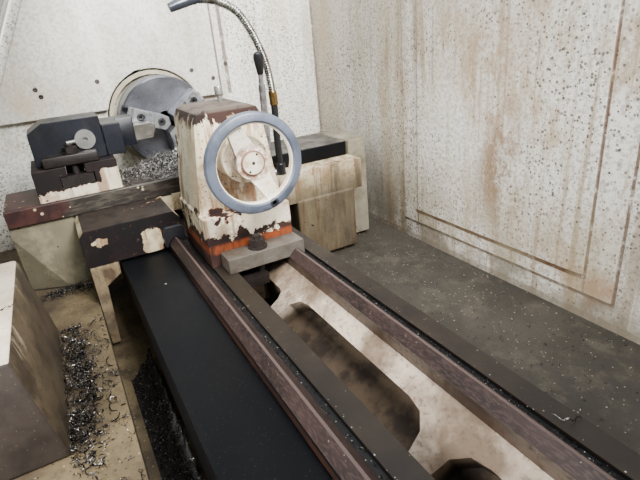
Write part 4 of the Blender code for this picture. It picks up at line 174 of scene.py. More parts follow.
class Finish:
    """A material under construction. Places are read in object coordinates, in metres."""

    def __init__(self, name, roughness=0.6, metallic=0.0, gloss=0.5):
        self.material = bpy.data.materials.new(name)
        self.material.use_nodes = True
        self.tree = self.material.node_tree
        self.shader = self.tree.nodes["Principled BSDF"]
        self.shader.inputs["Roughness"].default_value = roughness
        self.shader.inputs["Metallic"].default_value = metallic
        self.shader.inputs["Specular IOR Level"].default_value = gloss
        coordinates = self.tree.nodes.new("ShaderNodeTexCoord")
        self.place = coordinates.outputs["Object"]
        self.x, self.y, self.z = self.parts(self.place)
        self.axis = {"x": self.x, "y": self.y, "z": self.z}
        self.facing = coordinates.outputs["Normal"]

    def node(self, kind, inputs=(), **settings):
        """A new node. Inputs are linked where they are sockets, and set where they are values."""
        made = self.tree.nodes.new(kind)
        for key, value in settings.items():
            setattr(made, key, value)
        for key, value in dict(inputs).items():
            if isinstance(value, bpy.types.NodeSocket):
                self.tree.links.new(value, made.inputs[key])
            else:
                made.inputs[key].default_value = value
        return made

    def parts(self, vector):
        """The three numbers of a vector or a colour."""
        return self.node("ShaderNodeSeparateXYZ", {0: vector}).outputs[:3]

    def across(self):
        """The distance to the rear from the spindle line."""
        return self.math("SUBTRACT", self.y, AXIS_Y)

    def up(self):
        """The height above the flat ways."""
        return self.math("SUBTRACT", self.z, WAY_Z)

    def radius(self):
        """The distance from the spindle line: the root of the two squared offsets' sum."""
        across, up = self.across(), self.math("SUBTRACT", self.z, AXIS_Z)
        squares = self.math("ADD", self.math("MULTIPLY", across, across), self.math("MULTIPLY", up, up))
        return self.math("SQRT", squares)

    def math(self, operation, a, b=0.0, c=0.0, clamp=False):
        """One step of arithmetic on sockets or values."""
        made = self.node("ShaderNodeMath", {0: a, 1: b, 2: c}, operation=operation, use_clamp=clamp)
        return made.outputs[0]

    def step(self, value, low, high):
        """0 below low, 1 above high, and a smooth climb between them."""
        made = self.node(
            "ShaderNodeMapRange", {0: value, 1: low, 2: high, 3: 0.0, 4: 1.0}, interpolation_type="SMOOTHSTEP"
        )
        return made.outputs[0]

    def below(self, value, low, high):
        """1 below low, 0 above high: one minus the step."""
        return self.math("SUBTRACT", 1.0, self.step(value, low, high))

    def band(self, value, low, high, soft):
        """1 between low and high, with soft edges outside them."""
        up = self.step(value, low - soft, low)
        return self.math("MULTIPLY", up, self.below(value, high, high + soft))

    def both(self, *masks):
        """Where all masks are: their product."""
        found = masks[0]
        for mask in masks[1:]:
            found = self.math("MULTIPLY", found, mask)
        return found

    def either(self, *masks):
        """Where any mask is: the highest of them."""
        found = masks[0]
        for mask in masks[1:]:
            found = self.math("MAXIMUM", found, mask)
        return found

    def moved(self, stretch=(1, 1, 1), shift=(0, 0, 0)):
        """The place times a stretch plus a shift, for a pattern to read."""
        return self.node("ShaderNodeMapping", {0: self.place, 1: shift, 3: stretch}).outputs[0]

    def noise(self, scale, detail=3.0, rough=0.55, stretch=(1, 1, 1), shift=(0, 0, 0), warp=0.0):
        """Soft patches, scale of them to a metre. A stretch below 1 draws them out along that axis."""
        made = self.node(
            "ShaderNodeTexNoise",
            {
                "Vector": self.moved(stretch, shift),
                "Scale": scale,
                "Detail": detail,
                "Roughness": rough,
                "Distortion": warp,
            },
        )
        return made.outputs[0]

    def specks(self, scale, share, size, shift=(0, 0, 0), stretch=(1, 1, 1)):
        """Round dots, one at most in a cell: share of the cells have one, up to size of a cell in radius."""
        cells = self.node(
            "ShaderNodeTexVoronoi", {"Vector": self.moved(stretch, shift), "Scale": scale, "Randomness": 1.0}
        )
        chance = self.parts(cells.outputs["Color"])[0]
        radius = self.math("MULTIPLY", self.math("SUBTRACT", chance, 1 - share), size / share)
        inside = self.math("SUBTRACT", radius, cells.outputs["Distance"])
        return self.math("MULTIPLY", inside, SPECK_SHARPNESS, clamp=True)

    def near(self, point, radius, soft, stretch=(1, 1, 1)):
        """1 within radius of a point, measured after the stretch, and 0 beyond radius + soft."""
        shifted = self.node("ShaderNodeVectorMath", {0: self.place, 1: point}, operation="SUBTRACT")
        scaled = self.node("ShaderNodeVectorMath", {0: shifted.outputs[0], 1: stretch}, operation="MULTIPLY")
        length = self.node("ShaderNodeVectorMath", {0: scaled.outputs[0]}, operation="LENGTH")
        return self.below(length.outputs["Value"], radius, radius + soft)

    def mix(self, base, top, mask):
        """The base where the mask is 0 and the top where it is 1."""
        made = self.node("ShaderNodeMix", data_type="RGBA")
        for socket, value in ((made.inputs[0], mask), (made.inputs[6], base), (made.inputs[7], top)):
            if isinstance(value, bpy.types.NodeSocket):
                self.tree.links.new(value, socket)
            else:
                socket.default_value = value
        return made.outputs[2]

    def scaled(self, mask, amount):
        """A mask made weaker: times the amount, kept from 0 to 1."""
        return self.math("MULTIPLY", mask, amount, clamp=True)

    def patchy(self, first, second, pattern, low, high):
        """Two colours in patches: the first below low in the pattern, the second above high."""
        return self.mix(tone(*first), tone(*second), self.step(pattern, low, high))

    def over(self, base, hue, mask, amount=1.0):
        """A colour laid over the base where the mask is, as thick as the amount says."""
        return self.mix(base, tone(*hue), self.scaled(mask, amount))

    def finish(self, colour, rough=None, metal=None, heights=()):
        """Close the graph. heights is a list of (height, depth in metres) for the bump."""
        self.tree.links.new(colour, self.shader.inputs["Base Color"])
        if rough is not None:
            self.tree.links.new(rough, self.shader.inputs["Roughness"])
        if metal is not None:
            self.tree.links.new(metal, self.shader.inputs["Metallic"])
        below = {}
        for height, depth in heights:
            inputs = {"Strength": 1.0, "Distance": depth, "Height": height, **below}
            bump = self.node("ShaderNodeBump", inputs)
            below = {"Normal": bump.outputs[0]}
        if below:
            self.tree.links.new(below["Normal"], self.shader.inputs["Normal"])
        return self.material


def wear(material, *names):
    """Give a finish to CAD nodes."""
    for name in names:
        mesh = nodes[name].data
        mesh.materials.clear()
        mesh.materials.append(material)


# %% [markdown]
# ## The white sheet metal
# The walls are white enamel that years of chips and coolant have covered in specks, with tan runs,
# and rust where sheets meet. Low down they carry dust and painted shade, towards their tops a
# painted shade, and a few stains and dark lines beside raised sheets are painted shade too. A picture
# of dirt would need a map of every sheet, but noise in object coordinates needs none. One function
# makes every such sheet, so all of them belong together, and its values say how dirty and how
# shaded each one is.


# %% White enamel
def enamel(name, base, dirt, density, streaks, stain_and_shade_spots=(), rust_and_shade_lines=(), shade=None, top_shade=0.0):
    """Speckled enamel: three sizes of dot, vertical runs, clouds of dirt, and rust along given lines.

    A stain spot is (point, reach, colour, amount, stretch); a few spots are painted shade. A rust line
    is (axis across it, its place, half its width, its ends, axis along it, amount); a few lines are
    painted shade beside raised sheets. shade is (axis, low, high, colour, amount): painted shade and
    dust, in clouds, below high. The last argument says how far a painted shade greys the sheet
    towards its top.
    """
    f = Finish(name, roughness=0.5)
    clouds = f.step(f.noise(3.2, 4, 0.6), 0.42, 0.68)
    colour = f.mix(tone(*base), tone(*dirt), f.scaled(clouds, 0.6))
    patches = f.step(f.noise(2.1, 2, 0.5, shift=(3, 1, 2)), 0.36, 0.60)
    broad = f.step(f.noise(11, 4, 0.62, stretch=(1, 1, 0.07), shift=(2, 4, 6)), 0.48, 0.60)
    colour = f.over(colour, (186, 172, 144), broad, streaks * 0.75)
    runs = f.step(f.noise(34, 3, 0.6, stretch=(1, 1, 0.04)), 0.52, 0.61)
    colour = f.over(colour, (150, 126, 92), f.both(runs, patches), streaks * 0.8)
    tan = f.step(f.noise(6, 5, 0.65, stretch=(1, 1, 0.45), shift=(7, 3, 1)), 0.51, 0.64)
    colour = f.over(colour, (168, 142, 106), tan, streaks * 0.8)
    mottle = f.step(f.noise(110, 4, 0.75, shift=(5, 5, 2)), 0.47, 0.58)
    colour = f.over(colour, (124, 112, 94), mottle, 0.50 * density)
    crowd = f.step(f.noise(4.5, 3, 0.6, shift=(1, 5, 9)), 0.30, 0.62)
    fine = f.specks(130, 0.90 * density, 0.46)
    colour = f.over(colour, (78, 66, 54), f.both(fine, crowd), 0.85)
    small = f.specks(84, 0.85 * density, 0.24, shift=(0.3, 0.1, 0.7))
    colour = f.over(colour, (48, 40, 34), small, 0.9)
    large = f.specks(46, 0.26 * density, 0.12, shift=(0.1, 0.6, 0.2), stretch=(1, 1, 0.8))
    colour = f.over(colour, (34, 27, 25), large, 0.95)
    for spot in stain_and_shade_spots:
        point, reach, hue, amount, drawn = spot
        mask = f.near(point, reach * 0.2, reach, stretch=drawn)
        ragged = f.step(f.noise(13, 6, 0.75, stretch=(1, 1, 0.5)), 0.42, 0.58)
        colour = f.over(colour, hue, f.both(mask, ragged), amount)
    for line in rust_and_shade_lines:
        axis, middle, width, (low, high), along, amount = line
        across_it = f.band(f.axis[axis], middle - width, middle + width, width)
        mask = f.both(across_it, f.band(f.axis[along], low, high, 0.01))
        broken = f.step(f.noise(38, 4, 0.7), 0.26, 0.46)
        colour = f.over(colour, (84, 58, 40), f.both(mask, broken), amount)
    # Painted shade: the sheet greys towards its top, where less light reaches it.
    if top_shade:
        colour = f.over(colour, (132, 128, 118), f.step(f.z, 1.16, 1.62), top_shade)
    # Painted shade mixed with dust: a darker colour in clouds, below the given height.
    if shade is not None:
        axis, low, high, hue, amount = shade
        clouds = f.step(f.noise(9, 4, 0.6, shift=(2, 2, 5)), 0.25, 0.6)
        shade_and_dust = f.both(f.below(f.axis[axis], low, high), clouds)
        colour = f.over(colour, hue, shade_and_dust, amount)
    return f.finish(colour, heights=[(small, 0.0003), (f.noise(60, 2, 0.5), 0.0002)])


PANEL_LEFT, PANEL_RIGHT = -0.0125, 0.6345
PANEL_LOW = WAY_Z - 0.132
MIDDLE_RIGHT, MIDDLE_LOW = PANEL_RIGHT - 0.0625, PANEL_LOW + 0.038
rear_paint = enamel(
    "rear_wall_enamel",
    (220, 217, 209),
    (186, 180, 166),
    1.0,
    0.75,
    stain_and_shade_spots=[
        ((0.60, WALL_Y, PANEL_LOW - 0.02), 0.05, (150, 98, 58), 0.85, (1.4, 1, 0.5)),
        ((-0.45, WALL_Y, 1.42), 0.16, (196, 168, 128), 0.55, (2.2, 1, 0.5)),
        # Painted shade: a grey patch low on the wall, where the saddle shades it.
        ((-0.30, WALL_Y, 0.80), 0.16, (96, 90, 76), 0.75, (1, 1, 1)),
    ],
    rust_and_shade_lines=[
        ("x", PANEL_RIGHT + 0.003, 0.0022, (PANEL_LOW, 1.45), "z", 0.9),
        ("x", PANEL_LEFT - 0.003, 0.0020, (PANEL_LOW, 1.45), "z", 0.7),
        ("z", PANEL_LOW - 0.004, 0.0035, (PANEL_LEFT, PANEL_RIGHT), "x", 0.8),
        ("x", 0.750, 0.0010, (0.72, 1.50), "z", 0.9),
        ("z", FLOOR_Z + 0.004, 0.006, (-0.5, 1.2), "x", 0.5),
    ],
    # Painted shade and dust low down, and a painted shade towards the top.
    shade=("z", 0.70, 1.05, (112, 104, 88), 0.85),
    top_shade=0.55,
)
wear(rear_paint, "rear_wall")
panel_paint = enamel(
    "access_panel_enamel",
    (224, 221, 213),
    (196, 188, 172),
    1.0,
    0.85,
    stain_and_shade_spots=[
        ((0.34, WALL_Y, 0.98), 0.16, (128, 98, 66), 0.9, (1.9, 1, 0.8)),
        ((0.30, WALL_Y, 1.20), 0.16, (156, 126, 92), 0.7, (1.3, 1, 0.9)),
        ((MIDDLE_RIGHT + 0.03, WALL_Y, PANEL_LOW + 0.02), 0.06, (150, 96, 56), 0.8, (0.7, 1, 1.4)),
    ],
    rust_and_shade_lines=[
        # Partly painted shade: the dark line under the raised middle panel's lower edge, with dirt in it.
        ("z", MIDDLE_LOW - 0.005, 0.0035, (PANEL_LEFT + 0.055, MIDDLE_RIGHT), "x", 1.0),
        ("x", MIDDLE_RIGHT + 0.002, 0.0018, (PANEL_LOW, 1.45), "z", 0.9),
        ("x", PANEL_LEFT + 0.0615, 0.0022, (PANEL_LOW, 1.45), "z", 1.0),
    ],
    # Painted shade and dust low down, and a painted shade towards the top.
    shade=("z", 0.76, 1.05, (150, 138, 112), 0.7),
    top_shade=0.55,
)
wear(panel_paint, "access_panel")
partition_paint = enamel(
    "partition_enamel",
    (226, 225, 218),
    (206, 202, 192),
    0.8,
    0.35,
    stain_and_shade_spots=[
        # Painted shade and a red-brown stain under the cover's lower right corner.
        ((PARTITION_X, AXIS_Y + 0.20, WAY_Z + 0.225), 0.10, (118, 84, 66), 0.7, (1, 1, 1.2)),
        ((PARTITION_X, AXIS_Y + 0.02, WAY_Z + 0.05), 0.16, (188, 174, 140), 0.6, (1, 0.8, 0.8)),
        ((PARTITION_X, AXIS_Y - 0.147, AXIS_Z), 0.03, (116, 72, 48), 0.8, (1, 1.4, 0.25)),
    ],
    rust_and_shade_lines=[
        ("y", WALL_Y - 0.002, 0.003, (0.7, 1.7), "z", 0.8),
        # Painted shade: a dark brown line on the partition beside the cover's right edge.
        ("y", AXIS_Y + 0.249, 0.0040, (1.150, 1.7), "z", 0.8),
    ],
)
wear(partition_paint, "chuck_partition")
cover_paint = enamel(
    "partition_cover_enamel",
    (230, 229, 223),
    (214, 211, 202),
    0.6,
    0.25,
    stain_and_shade_spots=[
        ((COVER_FACE_X, AXIS_Y - 0.139, WAY_Z + 0.300), 0.018, (176, 118, 72), 0.7, (1, 1.2, 0.6)),
        ((COVER_FACE_X, AXIS_Y - 0.30, WAY_Z + 0.27), 0.13, (198, 178, 142), 0.5, (1, 1, 1)),
    ],
    rust_and_shade_lines=[("y", AXIS_Y + 0.214, 0.0022, (1.15, 1.7), "z", 0.8)],
)
wear(cover_paint, "partition_cover")
# The outer sheets get painted shade and dust near the floor.
outer_paint = enamel(
    "outer_enamel", (221, 220, 214), (208, 205, 197), 0.15, 0.06, shade=("z", 0.1, 0.4, (176, 168, 152), 0.4)
)
wear(outer_paint, "headstock_cover", "right_end_cover", "front_panel", "door_left", "door_right")
wear(outer_paint, "electrical_cabinet", "cabinet_door", "control_box", "coolant_tank")
print("enamel on", sum(1 for n in nodes.values() if "enamel" in n.data.materials[0].name), "nodes")

# %% [markdown]
# ## The bed
# The two rails are ground steel that has gone mauve and brown under years of coolant; the crest of
# each V carries a painted highlight. Between them the chute is cream paint, pale along the rear rail
# and darker towards the front, where a painted shadow of the front rail lies, and brown in its
# scoops, dirt and painted shade in one colour. The casting is one solid with one finish, which
# finds each zone from the place and the slope of the surface.


# %% Bed finish
RAIL_INSIDE = 0.055
RAIL_DEPTH = 0.020
CHUTE_FALL = 0.7002


def bed_finish():
    """Zones by height, offset and slope: flank, flat, groove, side, chute and scoop, with a painted highlight
    on the crest of each V and painted shade towards the front of the chute and in its scoops.

    The chute's plane starts RAIL_DEPTH below the ways at the rear rail's inside, and falls towards the
    front by CHUTE_FALL of the way. The depth under that plane tells a scoop from the chute.
    """
    f = Finish("bed_steel_and_paint", roughness=0.5, gloss=0.35)
    across = f.across()
    up = f.up()
    tilt = f.parts(f.facing)[2]
    offset = f.math("ABSOLUTE", across)
    on_rail = f.both(f.step(offset, 0.0545, 0.0552), f.step(up, -0.0206, -0.0200))
    grain = f.noise(420, 3, 0.6, stretch=(0.25, 1, 1))
    blotch = f.noise(18, 4, 0.6, stretch=(0.4, 1, 1))
    flank = f.patchy((46, 33, 31), (27, 19, 17), blotch, 0.35, 0.68)
    flank = f.over(flank, (74, 58, 54), f.step(grain, 0.46, 0.62), 0.45)
    side = f.patchy((58, 36, 26), (34, 22, 19), blotch, 0.38, 0.62)
    flat = f.patchy((24, 18, 14), (40, 33, 25), f.noise(9, 4, 0.6), 0.35, 0.7)
    steel = f.mix(side, flank, f.step(tilt, 0.25, 0.40))
    steel = f.mix(steel, flat, f.step(tilt, 0.93, 0.97))
    # Painted highlight: the flat crest of each V is lighter than the flats, as where light catches it.
    crest_highlight = f.both(f.step(up, 0.0128, 0.0136), f.step(tilt, 0.93, 0.97))
    steel = f.over(steel, (78, 64, 60), crest_highlight)
    groove = f.band(up, -0.0068, -0.0012, 0.0004)
    inside = f.band(offset, 0.0870, 0.1005, 0.0006)
    groove = f.both(groove, f.either(inside, f.band(offset, 0.055, 0.132, 0.001)))
    steel = f.over(steel, (15, 14, 14), groove)
    glints = f.both(f.specks(260, 0.2, 0.3), f.band(offset, 0.082, 0.104, 0.002))
    steel = f.over(steel, (176, 170, 160), glints, 0.7)
    dots = f.specks(180, 0.12, 0.25, shift=(0.5, 0.2, 0.1))
    steel = f.over(steel, (130, 118, 102), dots, 0.6)
    plane = f.math("MULTIPLY_ADD", f.math("SUBTRACT", across, RAIL_INSIDE), CHUTE_FALL, -RAIL_DEPTH)
    depth = f.math("SUBTRACT", plane, up)
    cream = f.patchy((188, 172, 154), (104, 88, 72), f.noise(7, 5, 0.65), 0.38, 0.62)
    cream = f.over(cream, (84, 68, 54), f.step(f.noise(120, 4, 0.7), 0.50, 0.68), 0.65)
    # Painted shadow of the front rail: the chute darkens towards the front.
    lower = f.below(across, -0.060, 0.020)
    cream = f.over(cream, (74, 60, 46), lower, 0.75)
    # The scoops are brown, dirt and painted shade in one colour.
    brown = f.patchy((74, 60, 45), (36, 27, 20), f.noise(14, 5, 0.66), 0.42, 0.60)
    scoop = f.step(depth, 0.003, 0.030)
    inner = f.mix(cream, brown, f.scaled(scoop, 0.95))
    oily = f.both(f.near(at(0.40, -0.03, -0.08), 0.02, 0.03), f.step(f.noise(30, 4, 0.7), 0.4, 0.6))
    inner = f.over(inner, (24, 20, 18), oily)
    colour = f.mix(inner, steel, on_rail)
    outer = f.step(offset, 0.1312, 0.1318)
    web = f.patchy((62, 54, 45), (38, 31, 26), blotch, 0.4, 0.6)
    colour = f.mix(colour, web, f.both(outer, f.below(up, -0.021, -0.0205)))
    rough = f.math("MULTIPLY_ADD", on_rail, -0.20, 0.74)
    metal = f.scaled(on_rail, 0.12)
    heights = [(grain, 0.0001), (f.noise(90, 4, 0.6), 0.0004)]
    return f.finish(colour, rough=rough, metal=metal, heights=heights)


wear(bed_finish(), "bed")
print("bed finish of", len(nodes["bed"].data.materials[0].node_tree.nodes), "nodes")


# %% [markdown]
# ## Floors and trays
# Dust, oil and fine chips have turned the rear floor olive brown. The front tray still shows its
# cream paint between brown drifts, and the long cover of the screw is satin black with a few bright
# flecks. Three colours in soft patches with grit on them do for all floors, only the colours differ.


# %% Rear floor, trays and the black covers
def grimy(name, base, second, third, grit, bump=0.0008, cell=210):
    """Layers of grime: three colours in soft patches, with dark and pale grit on them."""
    f = Finish(name, roughness=0.7)
    colour = f.patchy(base, second, f.noise(5, 5, 0.62), 0.38, 0.64)
    colour = f.over(colour, third, f.step(f.noise(16, 5, 0.7, shift=(4, 1, 2)), 0.48, 0.7), 0.8)
    dark = f.specks(cell, 0.6 * grit, 0.42)
    colour = f.over(colour, (20, 17, 14), dark, 0.75)
    big = f.specks(cell / 3, 0.12 * grit, 0.26, shift=(0.2, 0.4, 0.6))
    colour = f.over(colour, (14, 12, 11), big, 0.9)
    pale = f.specks(cell * 0.8, 0.28 * grit, 0.30, shift=(0.7, 0.3, 0.9))
    colour = f.over(colour, (158, 148, 128), pale, 0.6)
    grain = f.noise(240, 4, 0.65)
    return f.finish(colour, heights=[(grain, bump * 0.4), (f.noise(40, 4, 0.6), bump)])


wear(grimy("rear_floor_grime", (50, 45, 37), (36, 32, 25), (66, 60, 50), 1.0), "rear_floor")
wear(grimy("tray_cream", (104, 90, 64), (66, 54, 38), (40, 32, 23), 0.9), "front_tray")
wear(grimy("guard_olive", (112, 106, 86), (92, 85, 68), (132, 124, 100), 0.4), "saddle_guard")
wear(grimy("motor_cover_cream", (136, 130, 113), (98, 90, 72), (70, 61, 46), 1.0), "x_motor_cover")
base_paint = grimy("base_casting", (178, 170, 150), (150, 140, 120), (120, 108, 90), 0.4)
wear(base_paint, "base_left", "base_right", "headstock")


def black_sheet():
    """Satin black paint: dust drawn out along the bed, grey on the slide cover's top, bright flecks."""
    f = Finish("black_sheet", roughness=0.5, gloss=0.13)
    dust = f.step(f.noise(4, 5, 0.6, stretch=(0.5, 1, 1)), 0.42, 0.72)
    colour = f.mix(tone(3, 4, 6), tone(10, 11, 14), f.scaled(dust, 0.8))
    on_top = f.both(f.step(f.parts(f.facing)[2], 0.6, 0.9), f.step(f.z, WAY_Z + 0.05, WAY_Z + 0.06))
    grey = f.patchy((48, 47, 45), (92, 88, 82), f.noise(30, 5, 0.7), 0.36, 0.66)
    colour = f.mix(colour, grey, on_top)
    fine = f.specks(260, 0.5, 0.35)
    colour = f.over(colour, (60, 60, 62), fine, 0.22)
    flecks = f.specks(34, 0.16, 0.09, shift=(0.3, 0.7, 0.1))
    colour = f.over(colour, (214, 210, 204), flecks)
    rough = f.math("MULTIPLY_ADD", dust, 0.2, 0.42)
    return f.finish(colour, rough=rough, heights=[(f.noise(300, 2, 0.5), 0.00006)])


def sill_box_finish():
    """Cream paint with painted light, chosen by the facing of each face: pale on top as if lit, brown with
    grime and painted shade on the side, and a painted shade on the end that faces along the bed.
    """
    f = Finish("sill_box_cream", roughness=0.6)
    # Painted light: the top is paler, as it is lit.
    top = f.patchy((214, 202, 184), (190, 174, 154), f.noise(12, 5, 0.62), 0.40, 0.66)
    top = f.over(top, (120, 100, 80), f.specks(160, 0.5, 0.34), 0.6)
    side = f.patchy((84, 72, 55), (52, 43, 32), f.noise(14, 5, 0.66, shift=(3, 3, 3)), 0.38, 0.62)
    runs = f.step(f.noise(40, 4, 0.65, stretch=(1, 1, 0.12)), 0.52, 0.70)
    high = f.step(f.z, WAY_Z + 0.010, WAY_Z + 0.060)
    side = f.over(side, (150, 136, 110), f.both(runs, high), 0.8)
    side = f.over(side, (24, 19, 15), f.specks(150, 0.6, 0.36), 0.7)
    # Painted shade: the near end, facing along the bed, is dark.
    shaded_near_end = f.patchy((56, 48, 43), (40, 34, 31), f.noise(20, 4, 0.6), 0.4, 0.65)
    shaded_near_end = f.over(shaded_near_end, (110, 98, 84), f.specks(190, 0.25, 0.30), 0.5)
    # The facing of each face picks the lit top, the shaded side or the shaded end.
    x, y, z = f.parts(f.facing)
    colour = f.mix(side, shaded_near_end, f.step(x, 0.45, 0.75))
    colour = f.mix(colour, top, f.step(z, 0.55, 0.80))
    return f.finish(colour, heights=[(f.noise(110, 4, 0.6), 0.0005)])


wear(sill_box_finish(), "front_cover_box")
wear(black_sheet(), "z_screw_cover", "slide_cover")
print("grime on four sheets, three castings and a box, and black paint on two covers")


# %% [markdown]
# ## Flaking castings
# Where hot chips hit, the cream paint has come off in flakes with sharp edges. Under it is the
# maroon primer, and where coolant stands the primer has gone to orange rust. A noise with a hard
# threshold gives such an edge, and the threshold is pushed up or down where more or less is left.


# %% Flaked paint
CREAM = ((222, 214, 196), (196, 180, 150))


def flaked(name, keep, bare, paint=CREAM, rust=(), scale=11.0, aged=None):
    """Paint over primer: there is paint where ten times a torn noise, centred on 0, plus keep is above 0.

    keep(f) is how much paint is left at each place, aged(f, coat) stains the coat, and each line of
    rust is (mask, colour, amount) on the primer.
    """
    f = Finish(name, roughness=0.62, gloss=0.3)
    under = f.patchy(bare[0], bare[1], f.noise(14, 5, 0.65), 0.38, 0.62)
    under = f.over(under, (112, 78, 64), f.step(f.noise(60, 4, 0.7), 0.6, 0.75), 0.5)
    for mask, hue, amount in rust:
        ragged = f.step(f.noise(40, 5, 0.7, stretch=(1, 1, 0.35)), 0.34, 0.55)
        under = f.over(under, hue, f.both(mask(f), ragged), amount)
    coat = f.patchy(paint[0], paint[1], f.noise(9, 5, 0.65, shift=(2, 6, 1)), 0.40, 0.68)
    drips = f.step(f.noise(44, 3, 0.6, stretch=(1, 1, 0.08)), 0.52, 0.62)
    coat = f.over(coat, (122, 84, 52), drips, 0.75)
    stains = f.step(f.noise(17, 6, 0.7, shift=(6, 2, 4)), 0.50, 0.62)
    coat = f.over(coat, (134, 100, 66), stains, 0.6)
    if aged is not None:
        coat = aged(f, coat)
    dots = f.specks(190, 0.5, 0.40)
    coat = f.over(coat, (74, 58, 44), dots, 0.65)
    big = f.specks(80, 0.16, 0.20, shift=(0.3, 0.6, 0.2))
    coat = f.over(coat, (30, 24, 21), big, 0.9)
    coarse = f.scaled(f.noise(scale, 6, 0.62, warp=0.4), 0.52)
    fine_tears = f.scaled(f.noise(scale * 4.5, 6, 0.66), 0.48)
    torn = f.math("ADD", coarse, fine_tears)
    left = f.math("ADD", f.math("MULTIPLY_ADD", torn, 10.0, -5.0), keep(f))
    mask = f.step(left, -0.02, 0.02)
    edge = f.both(f.band(left, -0.10, -0.02, 0.06), f.step(f.noise(50, 3, 0.6), 0.4, 0.6))
    under = f.over(under, (150, 84, 44), edge, 0.7)
    colour = f.mix(under, coat, mask)
    return f.finish(colour, heights=[(mask, 0.0006), (f.noise(120, 3, 0.6), 0.0003)])


def tail_keep(f):
    """The sides keep their cream. Bare are the top, the foot, a ledge in front and the left corner."""
    up = f.up()
    fringe = f.math("MULTIPLY_ADD", f.noise(60, 5, 0.7, stretch=(1, 1, 0.22), shift=(1, 1, 3)), 0.12, -0.06)
    crumbs = f.math("MULTIPLY_ADD", f.noise(26, 6, 0.7, shift=(4, 2, 3)), 0.16, -0.08)
    top = f.step(f.math("ADD", up, fringe), TAIL_TOP - 0.026, TAIL_TOP - 0.018)
    low = f.below(f.math("ADD", up, crumbs), 0.054, 0.062)
    corner = f.both(f.below(f.x, 0.060, 0.085), f.step(up, 0.16, 0.20))
    kept = f.math("SUBTRACT", 1.25, f.math("MULTIPLY", top, 5.2))
    kept = f.math("SUBTRACT", kept, f.math("MULTIPLY", low, 4.4))
    ledge = f.both(f.band(up, 0.085, 0.104, 0.010), f.below(f.y, AXIS_Y - 0.02, AXIS_Y + 0.02))
    kept = f.math("SUBTRACT", kept, f.math("MULTIPLY", ledge, 0.95))
    return f.math("SUBTRACT", kept, f.math("MULTIPLY", corner, 1.2))


def tail_aged(f, coat):
    """Brown runs below the hub on the handwheel's side, and a paler brown ring round the hub."""
    under_hub = f.near((0.200, AXIS_Y + 0.005, AXIS_Z - 0.075), 0.012, 0.055, stretch=(1, 1, 0.7))
    ragged = f.step(f.noise(36, 5, 0.7, stretch=(1, 1, 0.3)), 0.38, 0.62)
    coat = f.over(coat, (96, 62, 38), f.both(under_hub, ragged), 0.85)
    at_hub = f.near((0.215, AXIS_Y, AXIS_Z), 0.046, 0.016)
    return f.over(coat, (150, 128, 104), at_hub, 0.5)


TAIL_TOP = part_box("tailstock_body")[1].z - WAY_Z
tail_paint = flaked(
    "tailstock_paint",
    tail_keep,
    bare=((54, 34, 29), (32, 20, 18)),
    paint=((222, 212, 190), (184, 166, 134)),
    rust=[
        (lambda f: f.band(f.z, WAY_Z + 0.031, WAY_Z + 0.041, 0.008), (128, 60, 24), 0.85),
        (lambda f: f.step(f.z, WAY_Z + TAIL_TOP - 0.008, WAY_Z + TAIL_TOP - 0.003), (96, 86, 76), 0.9),
    ],
    aged=tail_aged,
)
wear(tail_paint, "tailstock_body")


def saddle_keep(f):
    """Dark and bare at the right end, apart from two torn patches, thin on top, cream elsewhere."""
    end = f.both(f.step(f.x, 0.0330, 0.0345), f.below(f.y, AXIS_Y - 0.090, AXIS_Y - 0.085))
    patch = f.near((SADDLE_X, AXIS_Y - 0.162, WAY_Z + 0.016), 0.008, 0.040, stretch=(1, 1, 0.8))
    other = f.near((SADDLE_X, AXIS_Y - 0.268, WAY_Z + 0.040), 0.003, 0.026, stretch=(1, 0.8, 1.3))
    kept = f.math("SUBTRACT", 1.3, f.math("MULTIPLY", end, 3.9))
    kept = f.math("ADD", kept, f.math("MULTIPLY", f.either(patch, other), 3.6))
    top = f.both(f.step(f.z, WAY_Z + 0.0695, WAY_Z + 0.0705), f.below(f.y, AXIS_Y - 0.080, AXIS_Y - 0.075))
    return f.math("SUBTRACT", kept, f.math("MULTIPLY", top, 2.4))


def saddle_aged(f, coat):
    """The rear wing has gone olive brown, with runs of oil down it, and so has the skirt in front."""
    rear = f.step(f.y, AXIS_Y + 0.100, AXIS_Y + 0.140)
    low = f.below(f.z, WAY_Z - 0.02, WAY_Z + 0.10)
    olive = f.patchy((76, 66, 48), (46, 38, 27), f.noise(15, 6, 0.7, stretch=(1, 1, 0.3)), 0.36, 0.62)
    coat = f.mix(coat, olive, f.scaled(f.both(rear, low), 0.92))
    runs = f.step(f.noise(30, 5, 0.65, stretch=(1, 1, 0.10), shift=(8, 2, 2)), 0.50, 0.60)
    skirt = f.both(f.below(f.y, AXIS_Y - 0.24, AXIS_Y - 0.20), f.below(f.z, WAY_Z - 0.020, WAY_Z - 0.004))
    dirty = f.patchy((112, 96, 72), (62, 48, 36), f.noise(22, 5, 0.7, shift=(2, 8, 1)), 0.42, 0.60)
    coat = f.mix(coat, dirty, f.scaled(skirt, 0.9))
    return f.over(coat, (52, 38, 26), f.both(runs, rear), 0.6)


saddle_paint = flaked(
    "saddle_paint",
    saddle_keep,
    bare=((22, 12, 12), (9, 6, 7)),
    paint=((196, 184, 154), (138, 124, 96)),
    rust=[(lambda f: f.step(f.z, WAY_Z + 0.0690, WAY_Z + 0.0705), (44, 36, 30), 0.9)],
    aged=saddle_aged,
)
wear(saddle_paint, "saddle")


